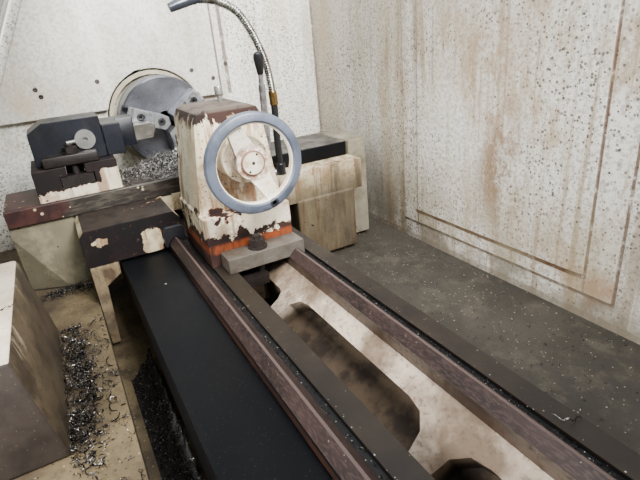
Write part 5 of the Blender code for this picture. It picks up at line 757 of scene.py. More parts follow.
def post_keep(f):
    """Cream along the foot of the post on both sides of its slot."""
    foot = f.below(f.z, SLIDE_TOP_Z + 0.014, SLIDE_TOP_Z + 0.036)
    low = f.below(f.z, SLIDE_TOP_Z + 0.045, SLIDE_TOP_Z + 0.06)
    rear = f.both(f.step(f.y, AXIS_Y - 0.235, AXIS_Y - 0.215), low)
    return f.math("MULTIPLY_ADD", f.either(foot, rear), 3.0, -1.9)


wear(flaked("tool_post_paint", post_keep, bare=((30, 17, 15), (15, 9, 9)), scale=16.0), "tool_post_base")
print("flaked paint on the tailstock, the saddle and the tool post")

# %% [markdown]
# ## Bare metals
# Ground steel shows the direction of its grinding, so its noise is drawn out along one axis. Age adds
# brown stains and dots. One function covers bolts, tools, screws and motors. The cross slide and
# the jaws have a finish of their own, because the slide still has primer at its front end and each
# jaw shows the sockets of its two screws.


# %% Steel
BROWN_OXIDE = (70, 52, 42)


def steel_finish(
    name, base, second, rough, metallic, grain=(1, 1, 1), stains=0.5, dots=0.3, oxide=BROWN_OXIDE
):
    """Machined steel: fine drawn grain, stains in patches with the oxide's colour, dots of old coolant."""
    f = Finish(name, roughness=rough, metallic=metallic)
    drawn = f.noise(260, 4, 0.6, stretch=grain)
    colour = f.patchy(base, second, f.noise(12, 5, 0.62), 0.36, 0.66)
    colour = f.over(colour, [min(255, v + 34) for v in base], f.step(drawn, 0.52, 0.78), 0.5)
    colour = f.over(colour, oxide, f.step(f.noise(34, 5, 0.68, shift=(1, 2, 3)), 0.56, 0.74), stains)
    colour = f.over(colour, (48, 44, 42), f.specks(230, dots, 0.3), 0.6)
    rough_map = f.math("MULTIPLY_ADD", f.noise(20, 4, 0.6), 0.30, rough - 0.15)
    return f.finish(colour, rough=rough_map, heights=[(drawn, 0.00008), (f.noise(80, 4, 0.6), 0.00015)])


def slide_finish():
    """Brown grey with drawn lines along it. The front end has maroon primer and flecks of cream."""
    f = Finish("slide_brown_steel", roughness=0.5, metallic=0.12, gloss=0.4)
    drawn = f.noise(200, 4, 0.6, stretch=(1, 0.15, 1))
    colour = f.patchy((38, 34, 30), (72, 66, 58), drawn, 0.42, 0.62)
    colour = f.over(colour, (42, 32, 28), f.step(f.noise(16, 5, 0.68), 0.50, 0.70), 0.7)
    uneven = f.math("MULTIPLY_ADD", f.noise(24, 5, 0.7, shift=(3, 1, 1)), 0.16, -0.08)
    front = f.below(f.math("ADD", f.y, uneven), AXIS_Y - 0.330, AXIS_Y - 0.300)
    maroon = f.patchy((64, 36, 32), (38, 22, 22), f.noise(30, 5, 0.65), 0.40, 0.62)
    colour = f.mix(colour, maroon, front)
    chips = f.both(f.specks(60, 0.25, 0.30, shift=(2, 1, 1)), f.below(f.y, AXIS_Y - 0.16, AXIS_Y - 0.10))
    colour = f.over(colour, (196, 182, 154), chips, 0.8)
    colour = f.over(colour, (24, 20, 18), f.specks(230, 0.3, 0.3), 0.6)
    return f.finish(colour, heights=[(drawn, 0.0001), (f.noise(80, 4, 0.6), 0.0002)])


wear(slide_finish(), "cross_slide")
slab_steel = steel_finish(
    "slab_steel", (98, 93, 86), (70, 62, 52), 0.45, 0.3, grain=(1, 0.25, 1), oxide=(70, 54, 42)
)
wear(slab_steel, "clamp_slab")
bolt_steel = steel_finish("dark_bolt_steel", (40, 34, 32), (28, 22, 21), 0.5, 0.4)
wear(bolt_steel, "clamp_bolt", "tool_clamp_bolt", "clamp_plate")
tool_steel = steel_finish(
    "blued_tool_steel", (16, 20, 30), (12, 14, 20), 0.42, 0.2, stains=0.25, dots=0.2, oxide=(60, 58, 60)
)
wear(tool_steel, "tool_block", "tool_holder")
bar_steel = steel_finish("tool_bar_steel", (112, 110, 102), (84, 80, 73), 0.45, 0.5, grain=(1, 0.2, 1))
wear(bar_steel, "tool_bar")
chuck_steel = steel_finish("chuck_steel", (112, 114, 121), (86, 88, 94), 0.34, 0.8, stains=0.35)
wear(chuck_steel, "chuck_body", "spindle", "quill")
knob_steel = steel_finish("knob_steel", (168, 168, 166), (136, 134, 130), 0.35, 0.7)
wear(knob_steel, "cam_knob", "quill_lock")
screw_steel = steel_finish("screw_steel", (150, 150, 152), (120, 118, 116), 0.35, 0.8)
wear(screw_steel, "z_screw", "x_screw", "z_bearing_left", "z_bearing_right", "door_rail")
motor_grey = steel_finish("motor_grey", (74, 78, 84), (60, 63, 68), 0.5, 0.1, stains=0.2)
wear(motor_grey, "z_motor", "spindle_motor", "spindle_pulley", "motor_pulley")
belt_rubber = steel_finish(
    "belt_rubber", (26, 26, 27), (34, 33, 33), 0.8, 0.0, stains=0.1, oxide=(60, 58, 54)
)
wear(belt_rubber, "drive_belt")
stop_red = steel_finish("stop_button_red", (176, 28, 24), (160, 24, 22), 0.4, 0.0, stains=0.05, dots=0.05)
wear(stop_red, "emergency_stop")


# %% Jaws
JAW_METAL = 0.85
JAW_SCREWS = (0.033, 0.087)
FIRST_JAW_ANGLE = 158.7


def jaw_finish(turned):
    """Bright worn steel, with two screws: a dark gap round each head, and a black socket in it, both painted
    shade, as hollows show it.

    A screw's middle is its radius times the cosine and sine of the jaw's angle from the rear.
    """
    f = Finish("jaw_steel_%d" % turned, roughness=0.28, metallic=JAW_METAL)
    drawn = f.noise(160, 4, 0.6)
    colour = f.patchy((190, 192, 198), (118, 120, 126), f.noise(40, 5, 0.66), 0.44, 0.64)
    colour = f.over(colour, (222, 224, 228), f.step(drawn, 0.50, 0.66), 0.5)
    colour = f.over(colour, (60, 52, 48), f.step(f.noise(34, 5, 0.7, shift=(3, 1, 6)), 0.56, 0.70), 0.7)
    angle = math.radians(FIRST_JAW_ANGLE - 120 * turned)
    metal = JAW_METAL
    for radial in JAW_SCREWS:
        middle = (0, AXIS_Y + radial * math.cos(angle), AXIS_Z + radial * math.sin(angle))
        gap = f.near(middle, 0.0098, 0.0008, stretch=(0, 1, 1))
        head = f.near(middle, 0.0076, 0.0006, stretch=(0, 1, 1))
        socket = f.near(middle, 0.0042, 0.0006, stretch=(0, 1, 1))
        # Painted shade: the gap round each head and the socket are dark as hollows are.
        colour = f.over(colour, (12, 12, 14), gap)
        colour = f.over(colour, (92, 94, 100), head)
        colour = f.over(colour, (4, 4, 5), socket)
        hollow = f.either(f.math("SUBTRACT", gap, head), socket)
        metal = f.math("MULTIPLY", metal, f.math("SUBTRACT", 1.0, hollow))
    return f.finish(colour, metal=metal, heights=[(drawn, 0.0001)])


for turned in range(3):
    wear(jaw_finish(turned), "jaw_%d" % (turned + 1))
print("steel on", sum(1 for n in nodes.values() if "steel" in n.data.materials[0].name), "nodes")

# %% [markdown]
# ## Handwheel, lever and windows
# The handwheel is one solid with two colours, blue grey on the rim and cream inside it. The border
# lies on a circle round the spindle line, so the distance from that line chooses the colour. The
# screw's cap and its two pin holes are found the same way, and the lever's knob by its height.


# %% Handwheel, its screw cap, the lever and the windows
def wheel_finish():
    """Blue-grey enamel on the rim's face and its outside, cream with specks inside and on the spokes."""
    f = Finish("handwheel_enamel", roughness=0.42)
    radius = f.radius()
    blue = f.patchy((86, 93, 107), (62, 68, 80), f.noise(12, 4, 0.6), 0.4, 0.65)
    blue = f.over(blue, (50, 46, 46), f.specks(170, 0.3, 0.26), 0.7)
    cream = f.patchy((226, 220, 206), (200, 188, 164), f.noise(16, 5, 0.65), 0.42, 0.66)
    cream = f.over(cream, (70, 56, 44), f.specks(260, 0.6, 0.38), 0.75)
    rusty = f.both(f.below(radius, 0.031, 0.037), f.step(f.noise(60, 4, 0.7), 0.35, 0.6))
    cream = f.over(cream, (124, 74, 46), rusty, 0.8)
    colour = f.mix(cream, blue, f.step(radius, 0.0712, 0.0722))
    # Painted shade: a dark disc where the hole for the handle is.
    handle_hole = f.near((0.31, AXIS_Y + 0.0247, AXIS_Z - 0.0761), 0.0085, 0.0006, stretch=(0, 1, 1))
    colour = f.over(colour, (26, 26, 30), handle_hole, 0.85)
    return f.finish(colour, heights=[(f.noise(200, 3, 0.5), 0.0001)])


wear(wheel_finish(), "handwheel")


def cap_finish():
    """The cream cap with two pin holes and a middle one, dark as painted shade, and rust where the radius is
    past its rim.
    """
    f = Finish("wheel_cap", roughness=0.5)
    radius = f.radius()
    cream = f.patchy((212, 202, 182), (176, 158, 132), f.noise(50, 5, 0.65), 0.42, 0.66)
    cream = f.over(cream, (70, 56, 46), f.specks(400, 0.4, 0.36), 0.7)
    # Painted shade: the two pin holes are dark discs.
    for across_pin, up_pin in ((0.0083, 0.0145), (-0.0083, -0.0145)):
        pin = f.near((0.3, AXIS_Y + across_pin, AXIS_Z + up_pin), 0.0020, 0.0004, stretch=(0, 1, 1))
        cream = f.over(cream, (18, 15, 13), pin)
    # Painted shade: the middle hole is a dark disc.
    cream = f.over(cream, (38, 28, 22), f.below(radius, 0.0028, 0.0036))
    colour = f.over(cream, (96, 50, 28), f.step(radius, 0.0185, 0.0205), 0.9)
    return f.finish(colour, heights=[(f.noise(160, 3, 0.6), 0.0002)])


wear(cap_finish(), "tailstock_screw")

KNOB_HEIGHT = 0.046


def lever_finish():
    """Black plastic at the top, a steel sleeve and rod below it."""
    f = Finish("lever_steel_and_knob", roughness=0.3)
    up = f.up()
    knob_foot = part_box("clamp_lever")[1].z - WAY_Z - KNOB_HEIGHT
    knob = f.step(up, knob_foot, knob_foot + 0.0007)
    steel = f.patchy((150, 150, 154), (110, 108, 108), f.noise(90, 4, 0.6), 0.4, 0.65)
    colour = f.over(steel, (16, 16, 18), knob)
    metal = f.math("SUBTRACT", 0.8, f.math("MULTIPLY", knob, 0.8))
    return f.finish(colour, metal=metal, heights=[(f.noise(200, 2, 0.5), 0.00005)])


wear(lever_finish(), "clamp_lever")

CLEARNESS = 0.85
THIN_PANE_IOR = 1.1


def window_finish():
    """A laminated pane: clear, slightly green, with a film of dried coolant."""
    f = Finish("window_pane", roughness=0.12)
    f.shader.inputs["Transmission Weight"].default_value = CLEARNESS
    f.shader.inputs["IOR"].default_value = THIN_PANE_IOR
    film = f.step(f.noise(14, 5, 0.65), 0.45, 0.75)
    colour = f.mix(tone(228, 236, 232), tone(190, 192, 182), f.scaled(film, 0.6))
    rough = f.math("MULTIPLY_ADD", film, 0.35, 0.08)
    return f.finish(colour, rough=rough)


wear(window_finish(), "window_left", "window_right")
wear(steel_finish("pipe_chrome", (190, 190, 188), (150, 148, 144), 0.22, 1.0, stains=0.15), "coolant_pipe")
print("every node has a finish:", all(len(n.data.materials) == 1 for n in nodes.values()))

# %% [markdown]
# ## Pieces with a finer surface
# A solid from the CAD has razor edges. On the real castings every edge is broken, and that thin
# bright line is what the eye reads as metal. So the prominent solids get a stand-in: a merged copy
# with a small bevel on its sharp edges. It keeps the place and the finish of the solid it replaces.
# A width of 0 leaves the edges sharp and only smooths the round faces.

# %% Bevelled stand-ins
body_of = {}
for body_name, members in frame["record"]["behaviour"]["bodies"].items():
    for member in members if isinstance(members, list) else members.get("nodes", []):
        body_of[member] = body_name

SHARP = math.radians(34)
MERGE_DISTANCE = 2e-5
SAME_PLANE = math.radians(1.0)


def refined(name, width):
    """A merged copy of a node: edges that turn more than SHARP are bevelled, all others are smooth."""
    mesh = nodes[name].data.copy()
    work = bmesh.new()
    work.from_mesh(mesh)
    bmesh.ops.remove_doubles(work, verts=work.verts, dist=MERGE_DISTANCE)
    bmesh.ops.dissolve_limit(work, angle_limit=SAME_PLANE, verts=work.verts, edges=work.edges)
    for edge in work.edges:
        edge.smooth = edge.calc_face_angle(0.0) < SHARP
    for face in work.faces:
        face.smooth = True
    work.to_mesh(mesh)
    work.free()
    piece = placed("fine_" + name, mesh)
    if width:
        bevel = piece.modifiers.new("broken_edges", "BEVEL")
        bevel.width = width
        bevel.segments = 2
        bevel.limit_method = "ANGLE"
        bevel.angle_limit = SHARP
        bevel.use_clamp_overlap = True
        bevel.harden_normals = True
    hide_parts(name)
    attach(piece, body_of[name])
    return piece


EDGE_WIDTHS = {
    "tailstock_body": 0.0030,
    "clamp_slab": 0.0016,
    "cross_slide": 0.0014,
    "slide_cover": 0.0020,
    "tool_post_base": 0.0014,
    "tool_block": 0.0012,
    "tool_holder": 0.0012,
    "clamp_plate": 0.0020,
    "tool_clamp_bolt": 0.0,
    "clamp_bolt": 0.0,
    "tool_bar": 0.0008,
    "handwheel": 0.0012,
    "tailstock_screw": 0.0,
    "quill": 0.0,
    "quill_lock": 0.0,
    "cam_knob": 0.0,
    "clamp_lever": 0.0,
    "chuck_body": 0.0,
    "jaw_1": 0.0009,
    "jaw_2": 0.0009,
    "jaw_3": 0.0009,
    "front_cover_box": 0.0030,
    "x_motor_cover": 0.0030,
    "z_screw_cover": 0.0020,
    "partition_cover": 0.0,
}
fine = {name: refined(name, width) for name, width in EDGE_WIDTHS.items()}
print(len(fine), "stand-ins with", sum(len(p.data.polygons) for p in fine.values()), "faces before bevels")


# %% [markdown]
# ## Meshes from arrays
# The pieces below are worked out as whole arrays: all points of a surface at once, then all its
# faces from their row and column numbers. One function turns such arrays into a piece. A tube that
# is a closed grid is still open at its two ends, so a fan of triangles closes each of them.

# %% From arrays to a piece
def piece_from(name, points, faces, body, material, smooth=True):
    """A piece from an array of points and a list of arrays of faces, three or four corners wide."""
    mesh = bpy.data.meshes.new(name)
    loops = np.concatenate([f.ravel() for f in faces])
    sizes = np.concatenate([np.full(len(f), f.shape[1]) for f in faces])
    starts = np.concatenate([[0], np.cumsum(sizes)[:-1]])
    mesh.vertices.add(len(points))
    mesh.vertices.foreach_set("co", np.asarray(points, dtype=np.float32).ravel())
    mesh.loops.add(len(loops))
    mesh.loops.foreach_set("vertex_index", loops.astype(np.int32))
    mesh.polygons.add(len(sizes))
    mesh.polygons.foreach_set("loop_start", starts.astype(np.int32))
    mesh.polygons.foreach_set("use_smooth", np.full(len(sizes), smooth))
    mesh.update(calc_edges=True)
    mesh.validate()
    mesh.materials.append(material)
    piece = placed(name, mesh)
    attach(piece, body)
    return piece


def sheet_faces(rows, columns, closed=False, first=0):
    """The faces of a grid of points, row by row. closed joins the last column to the first."""
    wide = columns if closed else columns - 1
    row, column = np.meshgrid(np.arange(rows - 1), np.arange(wide), indexing="ij")
    here = row * columns + column
    beside = row * columns + (column + 1) % columns
    return first + np.stack([here, beside, beside + columns, here + columns], -1).reshape(-1, 4)


print("a grid of 3 by 4 points has", len(sheet_faces(3, 4)), "faces")

# %% Fans that close a tube
def end_fans(rows, columns):
    """Triangles from two middle points, numbered after all rings, to the first ring and to the last."""
    column = np.arange(columns)
    after = (column + 1) % columns
    last = (rows - 1) * columns
    low = np.stack([np.full(columns, rows * columns), after, column], -1)
    high = np.stack([np.full(columns, rows * columns + 1), last + column, last + after], -1)
    return low, high


print("a tube of 12 sides is closed by", sum(len(fan) for fan in end_fans(2, 12)), "triangles")

# %% [markdown]
# ## The flexible coolant pipe
# It is a gooseneck: a steel hose wound from strip, which stays where it is bent. A circle is
# carried along the route, and its radius rises and falls once for each turn of the strip. The
# route's points are the ones that the solid follows.

# %% Coolant pipe
PIPE_X = SADDLE_X - 0.091
PIPE_ROUTE = [
    (0.203, 0.0593),
    (0.203, 0.170),
    (0.206, 0.267),
    (0.193, 0.365),
    (0.151, 0.455),
    (0.105, 0.488),
    (0.055, 0.497),
    (0.022, 0.4915),
    (-0.008, 0.483),
]


def smooth_route(points, steps):
    """A curve through all points. Its slope at a point is half the step between the point's neighbours."""
    p = np.array(points)
    p = np.vstack([2 * p[0] - p[1], p, 2 * p[-1] - p[-2]])
    t = np.linspace(0, 1, steps, endpoint=False)[:, None]
    spans = []
    for a, b, c, d in zip(p[:-3], p[1:-2], p[2:-1], p[3:]):
        cubic = 2 * b + (c - a) * t + (2 * a - 5 * b + 4 * c - d) * t**2 + (3 * b - a - 3 * c + d) * t**3
        spans.append(cubic / 2)
    return np.vstack(spans + [p[-2:-1]])


STRIP_PITCH = 0.0055
RINGS_PER_TURN = 8
PIPE_SIDES = 18


def pipe_radius(along, total, height):
    """Foot, smooth lower tube, ferrule, a cosine wave of one period per turn of strip, and a nozzle."""
    wave = 0.0091 + 0.0008 * np.cos(2 * np.pi * along / STRIP_PITCH)
    radius = np.where(height < 0.250, 0.0088, wave)
    radius = np.where((height > 0.250) & (height < 0.283) & (along < total / 2), 0.0106, radius)
    radius = np.where(height < 0.101, 0.0130, radius)
    left = total - along
    nozzle = 0.0095 + 0.0030 * np.clip(left / 0.034, 0, 1)
    return np.where(left < 0.060, np.minimum(nozzle, 0.0112), radius)


route = smooth_route(PIPE_ROUTE, 60)
lengths = np.concatenate([[0], np.cumsum(np.linalg.norm(np.diff(route, axis=0), axis=1))])
total = lengths[-1]
along = np.linspace(0, total, int(total / STRIP_PITCH * RINGS_PER_TURN))
centre = np.stack([np.interp(along, lengths, route[:, 0]), np.interp(along, lengths, route[:, 1])], -1)
heading = np.gradient(centre, axis=0)
heading /= np.linalg.norm(heading, axis=1)[:, None]
radius = pipe_radius(along, total, centre[:, 1])
turn_round = np.linspace(0, 2 * np.pi, PIPE_SIDES, endpoint=False)
out_x = radius[:, None] * np.cos(turn_round)
out_n = radius[:, None] * np.sin(turn_round)
pipe_points = np.stack(
    [
        PIPE_X + out_x,
        AXIS_Y + centre[:, :1] + out_n * heading[:, 1:2],
        WAY_Z + centre[:, 1:2] - out_n * heading[:, :1],
    ],
    -1,
).reshape(-1, 3)
rings = len(along)
ends = np.array([at(PIPE_X, *centre[i]) for i in (0, -1)])
side_faces = sheet_faces(rings, PIPE_SIDES, closed=True)
foot_cap, tip_cap = end_fans(rings, PIPE_SIDES)


def pipe_finish():
    """Black tube below, brass ferrule, bright strip-wound hose with duller patches, dark grey tip."""
    f = Finish("pipe_chrome_and_black", roughness=0.25, metallic=1.0)
    up = f.up()
    steel = f.patchy((186, 184, 180), (118, 112, 106), f.noise(60, 4, 0.6), 0.40, 0.66)
    colour = f.patchy((24, 24, 26), (150, 122, 78), up, 0.2495, 0.2502)
    colour = f.mix(colour, steel, f.step(up, 0.2825, 0.2835))
    tip = f.both(f.below(f.y, AXIS_Y + 0.064, AXIS_Y + 0.067), f.step(up, 0.40, 0.42))
    colour = f.over(colour, (62, 66, 74), tip)
    metal = f.math("SUBTRACT", f.step(up, 0.2495, 0.2502), f.math("MULTIPLY", tip, 0.6))
    return f.finish(colour, metal=metal, heights=[(f.noise(200, 3, 0.6), 0.0001)])


pipe_mesh_points = np.vstack([pipe_points, ends])
pipe_faces = [side_faces, foot_cap, tip_cap]
pipe = piece_from("flexible_coolant_pipe", pipe_mesh_points, pipe_faces, "saddle", pipe_finish())
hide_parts("coolant_pipe")
print("pipe", round(float(total), 3), "m long,", len(pipe.data.polygons), "faces")

# %% [markdown]
# ## Small hardware
# Button screws with a round socket hold the sheets. A screw is a profile turned round its axis, so
# one function gives a turned piece along X. The wiper is a rubber scraper at the saddle's right end,
# cut out to fit over the raised V of the front rail: an outline pushed out along X.


# %% Screws and wiper
SCREW_SIDES = 20


def turned_x(profile, place, steps, first):
    """A profile of (x, radius) turned round an axis along X: y and z are radius times cosine and sine."""
    profile = np.array(profile)
    angle = np.linspace(0, 2 * np.pi, steps, endpoint=False)
    y = profile[:, 1:2] * np.cos(angle)
    z = profile[:, 1:2] * np.sin(angle)
    x = np.repeat(profile[:, :1], steps, axis=1)
    points = np.stack([place[0] + x, place[1] + y, place[2] + z], -1).reshape(-1, 3)
    middle = [[place[0] + profile[i, 0], place[1], place[2]] for i in (0, -1)]
    rows = len(profile)
    fans = np.vstack(end_fans(rows, steps))
    return np.vstack([points, middle]), first + sheet_faces(rows, steps, closed=True), first + fans


SCREW_PROFILE = [
    (0.0003, 0.0064),
    (0.0012, 0.0064),
    (0.0028, 0.0052),
    (0.0036, 0.0030),
    (0.0020, 0.0026),
    (0.0020, 0.0004),
]
ON_COVER = [(-0.147, 0.331), (0.129, 0.331), (0.193, 0.300), (-0.307, 0.329), (-0.298, 0.309)]
ON_PARTITION = [(0.248, 0.337), (0.377, 0.341)]
SCREW_PLACES = [(COVER_FACE_X, *place) for place in ON_COVER]
SCREW_PLACES += [(PARTITION_X, *place) for place in ON_PARTITION]
grimy_steel = steel_finish("grimy_screw_steel", (84, 76, 70), (40, 34, 32), 0.5, 0.5)
points, quads, triangles, count = [], [], [], 0
for x, across, up in SCREW_PLACES:
    found = turned_x(SCREW_PROFILE, at(x, across, up), SCREW_SIDES, count)
    points.append(found[0])
    quads.append(found[1])
    triangles.append(found[2])
    count += len(found[0])
screw_faces = [np.vstack(quads), np.vstack(triangles)]
piece_from("partition_screws", np.vstack(points), screw_faces, "machine", grimy_steel)

WIPER = [
    (-0.140, -0.006), (-0.140, 0.034), (-0.134, 0.040), (-0.100, 0.040), (-0.094, 0.034), (-0.094, 0.0012),
    (-0.0993, 0.0012), (-0.1133, 0.0156), (-0.1187, 0.0156), (-0.1327, 0.0012), (-0.1335, -0.006),
]
WIPER_GAP = 0.0003
WIPER_THICKNESS = 0.0115
wiper_work = bmesh.new()
outline = [wiper_work.verts.new(at(SADDLE_X + WIPER_GAP, a, b)) for a, b in WIPER]
wiper_face = wiper_work.faces.new(outline)
grown = bmesh.ops.extrude_face_region(wiper_work, geom=[wiper_face])["geom"]
front_points = [part for part in grown if isinstance(part, bmesh.types.BMVert)]
bmesh.ops.translate(wiper_work, verts=front_points, vec=(WIPER_THICKNESS, 0, 0))
bmesh.ops.recalc_face_normals(wiper_work, faces=wiper_work.faces)
wiper_mesh = bpy.data.meshes.new("way_wiper")
wiper_work.to_mesh(wiper_mesh)
wiper_work.free()
wiper = placed("way_wiper", wiper_mesh)
rounding = wiper.modifiers.new("rounding", "BEVEL")
rounding.width = 0.0012
rounding.segments = 2
wiper_mesh.materials.append(steel_finish("wiper_rubber", (22, 23, 26), (34, 35, 38), 0.45, 0.0, stains=0.1))
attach(wiper, "saddle")
print(len(SCREW_PLACES), "screws and a wiper")

# %% [markdown]
# ## A dark block in the slot
# The slot of the tool post is open at both ends, so the pale wall would show through it. A dark
# block with a grimy finish stands behind its nut as painted shade of the slot's inside. A plain
# block is enough, because only its end is seen between two lips.

# %% A dark block of painted shade in the tool post's slot
plug_low, plug_high = at(-0.157, -0.2910, 0.1400), at(-0.147, -0.2530, 0.1832)
corners = np.stack(np.meshgrid(*zip(plug_low, plug_high), indexing="ij"), -1).reshape(-1, 3)
box_faces = np.array([(0, 1, 3, 2), (4, 6, 7, 5), (0, 4, 5, 1), (2, 3, 7, 6), (0, 2, 6, 4), (1, 5, 7, 3)])
slot_shade_block = grimy("slot_shade_block", (24, 19, 17), (16, 12, 11), (34, 28, 24), 0.4)
piece_from("slot_shade_block", corners, [box_faces], "cross_slide", slot_shade_block, smooth=False)
print("one plug of grime in the slot")

# %% [markdown]
# ## Chips
# Turning leaves curled chips of steel. Each one here is a thin ribbon bent along an arc, turned at
# random, with a three-sided section that narrows to a quarter at both ends. All chips of a place are
# worked out together: one array holds every point of every chip. Seeds keep each run the same.


# %% Chips
def chip_finish(name, middle, bright_from):
    """Bright and blued steel side by side: the tone changes from chip to chip with a fine noise."""
    f = Finish(name, roughness=0.3, metallic=0.85)
    which = f.noise(95, 2, 0.5)
    colour = f.patchy((16, 15, 16), middle, which, 0.49, 0.54)
    glint = f.step(f.noise(210, 2, 0.5, shift=(1, 2, 3)), bright_from, bright_from + 0.05)
    colour = f.over(colour, (212, 210, 206), glint)
    return f.finish(colour)


dull_chips = chip_finish("dull_chips", (78, 74, 71), 0.59)
bright_chips = chip_finish("bright_chips", (128, 124, 120), 0.52)


def turns_about(axis, angles):
    """One turning matrix for each angle, about X for 0 and about Z for 2."""
    first, second = [i for i in range(3) if i != axis]
    made = np.tile(np.eye(3), (len(angles), 1, 1))
    made[:, first, first] = made[:, second, second] = np.cos(angles)
    made[:, second, first] = np.sin(angles)
    made[:, first, second] = -np.sin(angles)
    return made


def chips(name, body, centres, sizes, seed, thick=0.0007, flat=0.5, rings=8, metal=dull_chips):
    """Curled ribbons at the given centres, with a radius of curl each. flat limits how far they lean.

    A ribbon's path is an arc that also climbs: radius times cosine and sine of its angle, and pitch
    times the way along it. It is leaned about X, turned about Z and set down on its lowest point.
    """
    rng = np.random.default_rng(seed)
    n = len(centres)
    t = np.linspace(-0.5, 0.5, rings)
    angle = 2 * np.pi * rng.uniform(0.35, 1.2, n)[:, None] * t
    reach = sizes[:, None]
    pitch = sizes[:, None] * rng.uniform(0.5, 2.0, n)[:, None]
    local = np.stack([reach * (np.cos(angle) - 0.7), reach * np.sin(angle), pitch * t], -1)
    yaw = rng.uniform(0, 2 * np.pi, n)
    lean = rng.uniform(-flat, flat, n) * np.pi / 2 + np.pi / 2 * (rng.random(n) < 0.35)
    path = np.einsum("nij,nrj->nri", turns_about(2, yaw) @ turns_about(0, lean), local)
    path[:, :, 2] -= path[:, :, 2].min(axis=1)[:, None]
    path += centres[:, None, :]
    ahead = np.gradient(path, axis=1)
    ahead /= np.linalg.norm(ahead, axis=2)[:, :, None] + 1e-12
    guide = rng.normal(size=(n, 1, 3)) * np.ones((1, rings, 1))
    side = np.cross(guide, ahead)
    side /= np.linalg.norm(side, axis=2)[:, :, None] + 1e-12
    other = np.cross(ahead, side)
    width = thick * (0.25 + 0.75 * np.cos(t * np.pi))[None, :, None] * rng.uniform(0.7, 1.5, n)[:, None, None]
    corners = [(1.0, 0.0), (-0.8, 0.35), (-0.8, -0.35)]
    points = np.stack([path + width * (a * side + b * other) for a, b in corners], 2)
    block = rings * 3
    quads = sheet_faces(rings, 3, closed=True)
    caps = np.array([[2, 1, 0], [block - 3, block - 2, block - 1]])
    offsets = (np.arange(n) * block)[:, None, None]
    faces = [(quads[None] + offsets).reshape(-1, 4), (caps[None] + offsets).reshape(-1, 3)]
    return piece_from(name, points.reshape(-1, 3), faces, body, metal)


def heap(rng, n, x, across, spread_x, spread_y, floor, height, low, high):
    """n places heaped round a middle: densest there, and lying higher the nearer they are to it."""
    px = np.clip(rng.normal(x, spread_x, n), low[0], high[0])
    py = np.clip(rng.normal(across, spread_y, n), low[1], high[1])
    near = np.exp(-(((px - x) / spread_x) ** 2 + ((py - across) / spread_y) ** 2) / 2)
    pz = floor + height * near * rng.random(n)
    return np.stack([px, AXIS_Y + py, WAY_Z + pz], -1)


# %% Chips in heaps
rng = np.random.default_rng(11)
SLIDE_LEVEL = 0.1116
on_slide = np.vstack(
    [
        heap(rng, 520, -0.235, -0.050, 0.030, 0.055, SLIDE_LEVEL, 0.040, (-0.270, -0.170), (-0.120, 0.050)),
        heap(rng, 380, -0.165, 0.000, 0.030, 0.040, SLIDE_LEVEL, 0.022, (-0.270, -0.170), (-0.115, 0.052)),
        heap(rng, 260, -0.190, -0.100, 0.045, 0.045, SLIDE_LEVEL, 0.012, (-0.270, -0.172), (-0.112, 0.052)),
    ]
)
curl = rng.uniform(0.002, 0.008, len(on_slide))
chips("chips_on_slide", "cross_slide", on_slide, curl, 21, thick=0.0009, metal=bright_chips)

TRAY_LEVEL = -0.1037
in_tray = np.vstack(
    [
        heap(rng, 240, 0.200, -0.365, 0.060, 0.014, TRAY_LEVEL, 0.020, (0.105, -0.386), (0.50, -0.300)),
        heap(rng, 240, 0.320, -0.360, 0.050, 0.014, TRAY_LEVEL, 0.018, (0.105, -0.386), (0.55, -0.300)),
        heap(rng, 150, 0.440, -0.372, 0.050, 0.012, TRAY_LEVEL, 0.014, (0.105, -0.386), (0.60, -0.300)),
        heap(rng, 110, 0.330, -0.345, 0.150, 0.030, TRAY_LEVEL, 0.004, (0.105, -0.386), (0.70, -0.310)),
    ]
)
chips("chips_in_tray", "machine", in_tray, rng.uniform(0.002, 0.008, len(in_tray)), 22, thick=0.0009)
at_guard = heap(rng, 260, -0.085, -0.365, 0.014, 0.035, TRAY_LEVEL, 0.010, (-0.104, -0.430), (-0.062, -0.312))
chips("chips_at_guard", "saddle", at_guard, rng.uniform(0.002, 0.005, len(at_guard)), 23)
print(len(on_slide), "chips on the slide,", len(in_tray), "in the tray,", len(at_guard), "at the guard")

# %% [markdown]
# ## Packed chips in the gutter
# Fine chips pack into a heap under the long cover. Its top is a height worked out for a grid of
# places, its foot is the same grid at one level, and the rims of the two grids are joined all round,
# so that the piece is closed. Loose chips lie on it, at heights that the same function gives.


# %% Gutter
GUTTER_LEVEL = -0.2148


def gutter_height(x, across):
    """The rise from the front edge to the power 1.3, with lumps from products of sines that grow with it."""
    rise = np.clip((across + 0.286) / 0.045, 0, 1)
    lumps = 0.010 * np.sin(x * 61) * np.cos(x * 23 + across * 90) + 0.006 * np.sin(x * 170 + across * 210)
    return -0.2146 + np.clip(0.062 * rise**1.3 + lumps * rise, 0.0006, None)


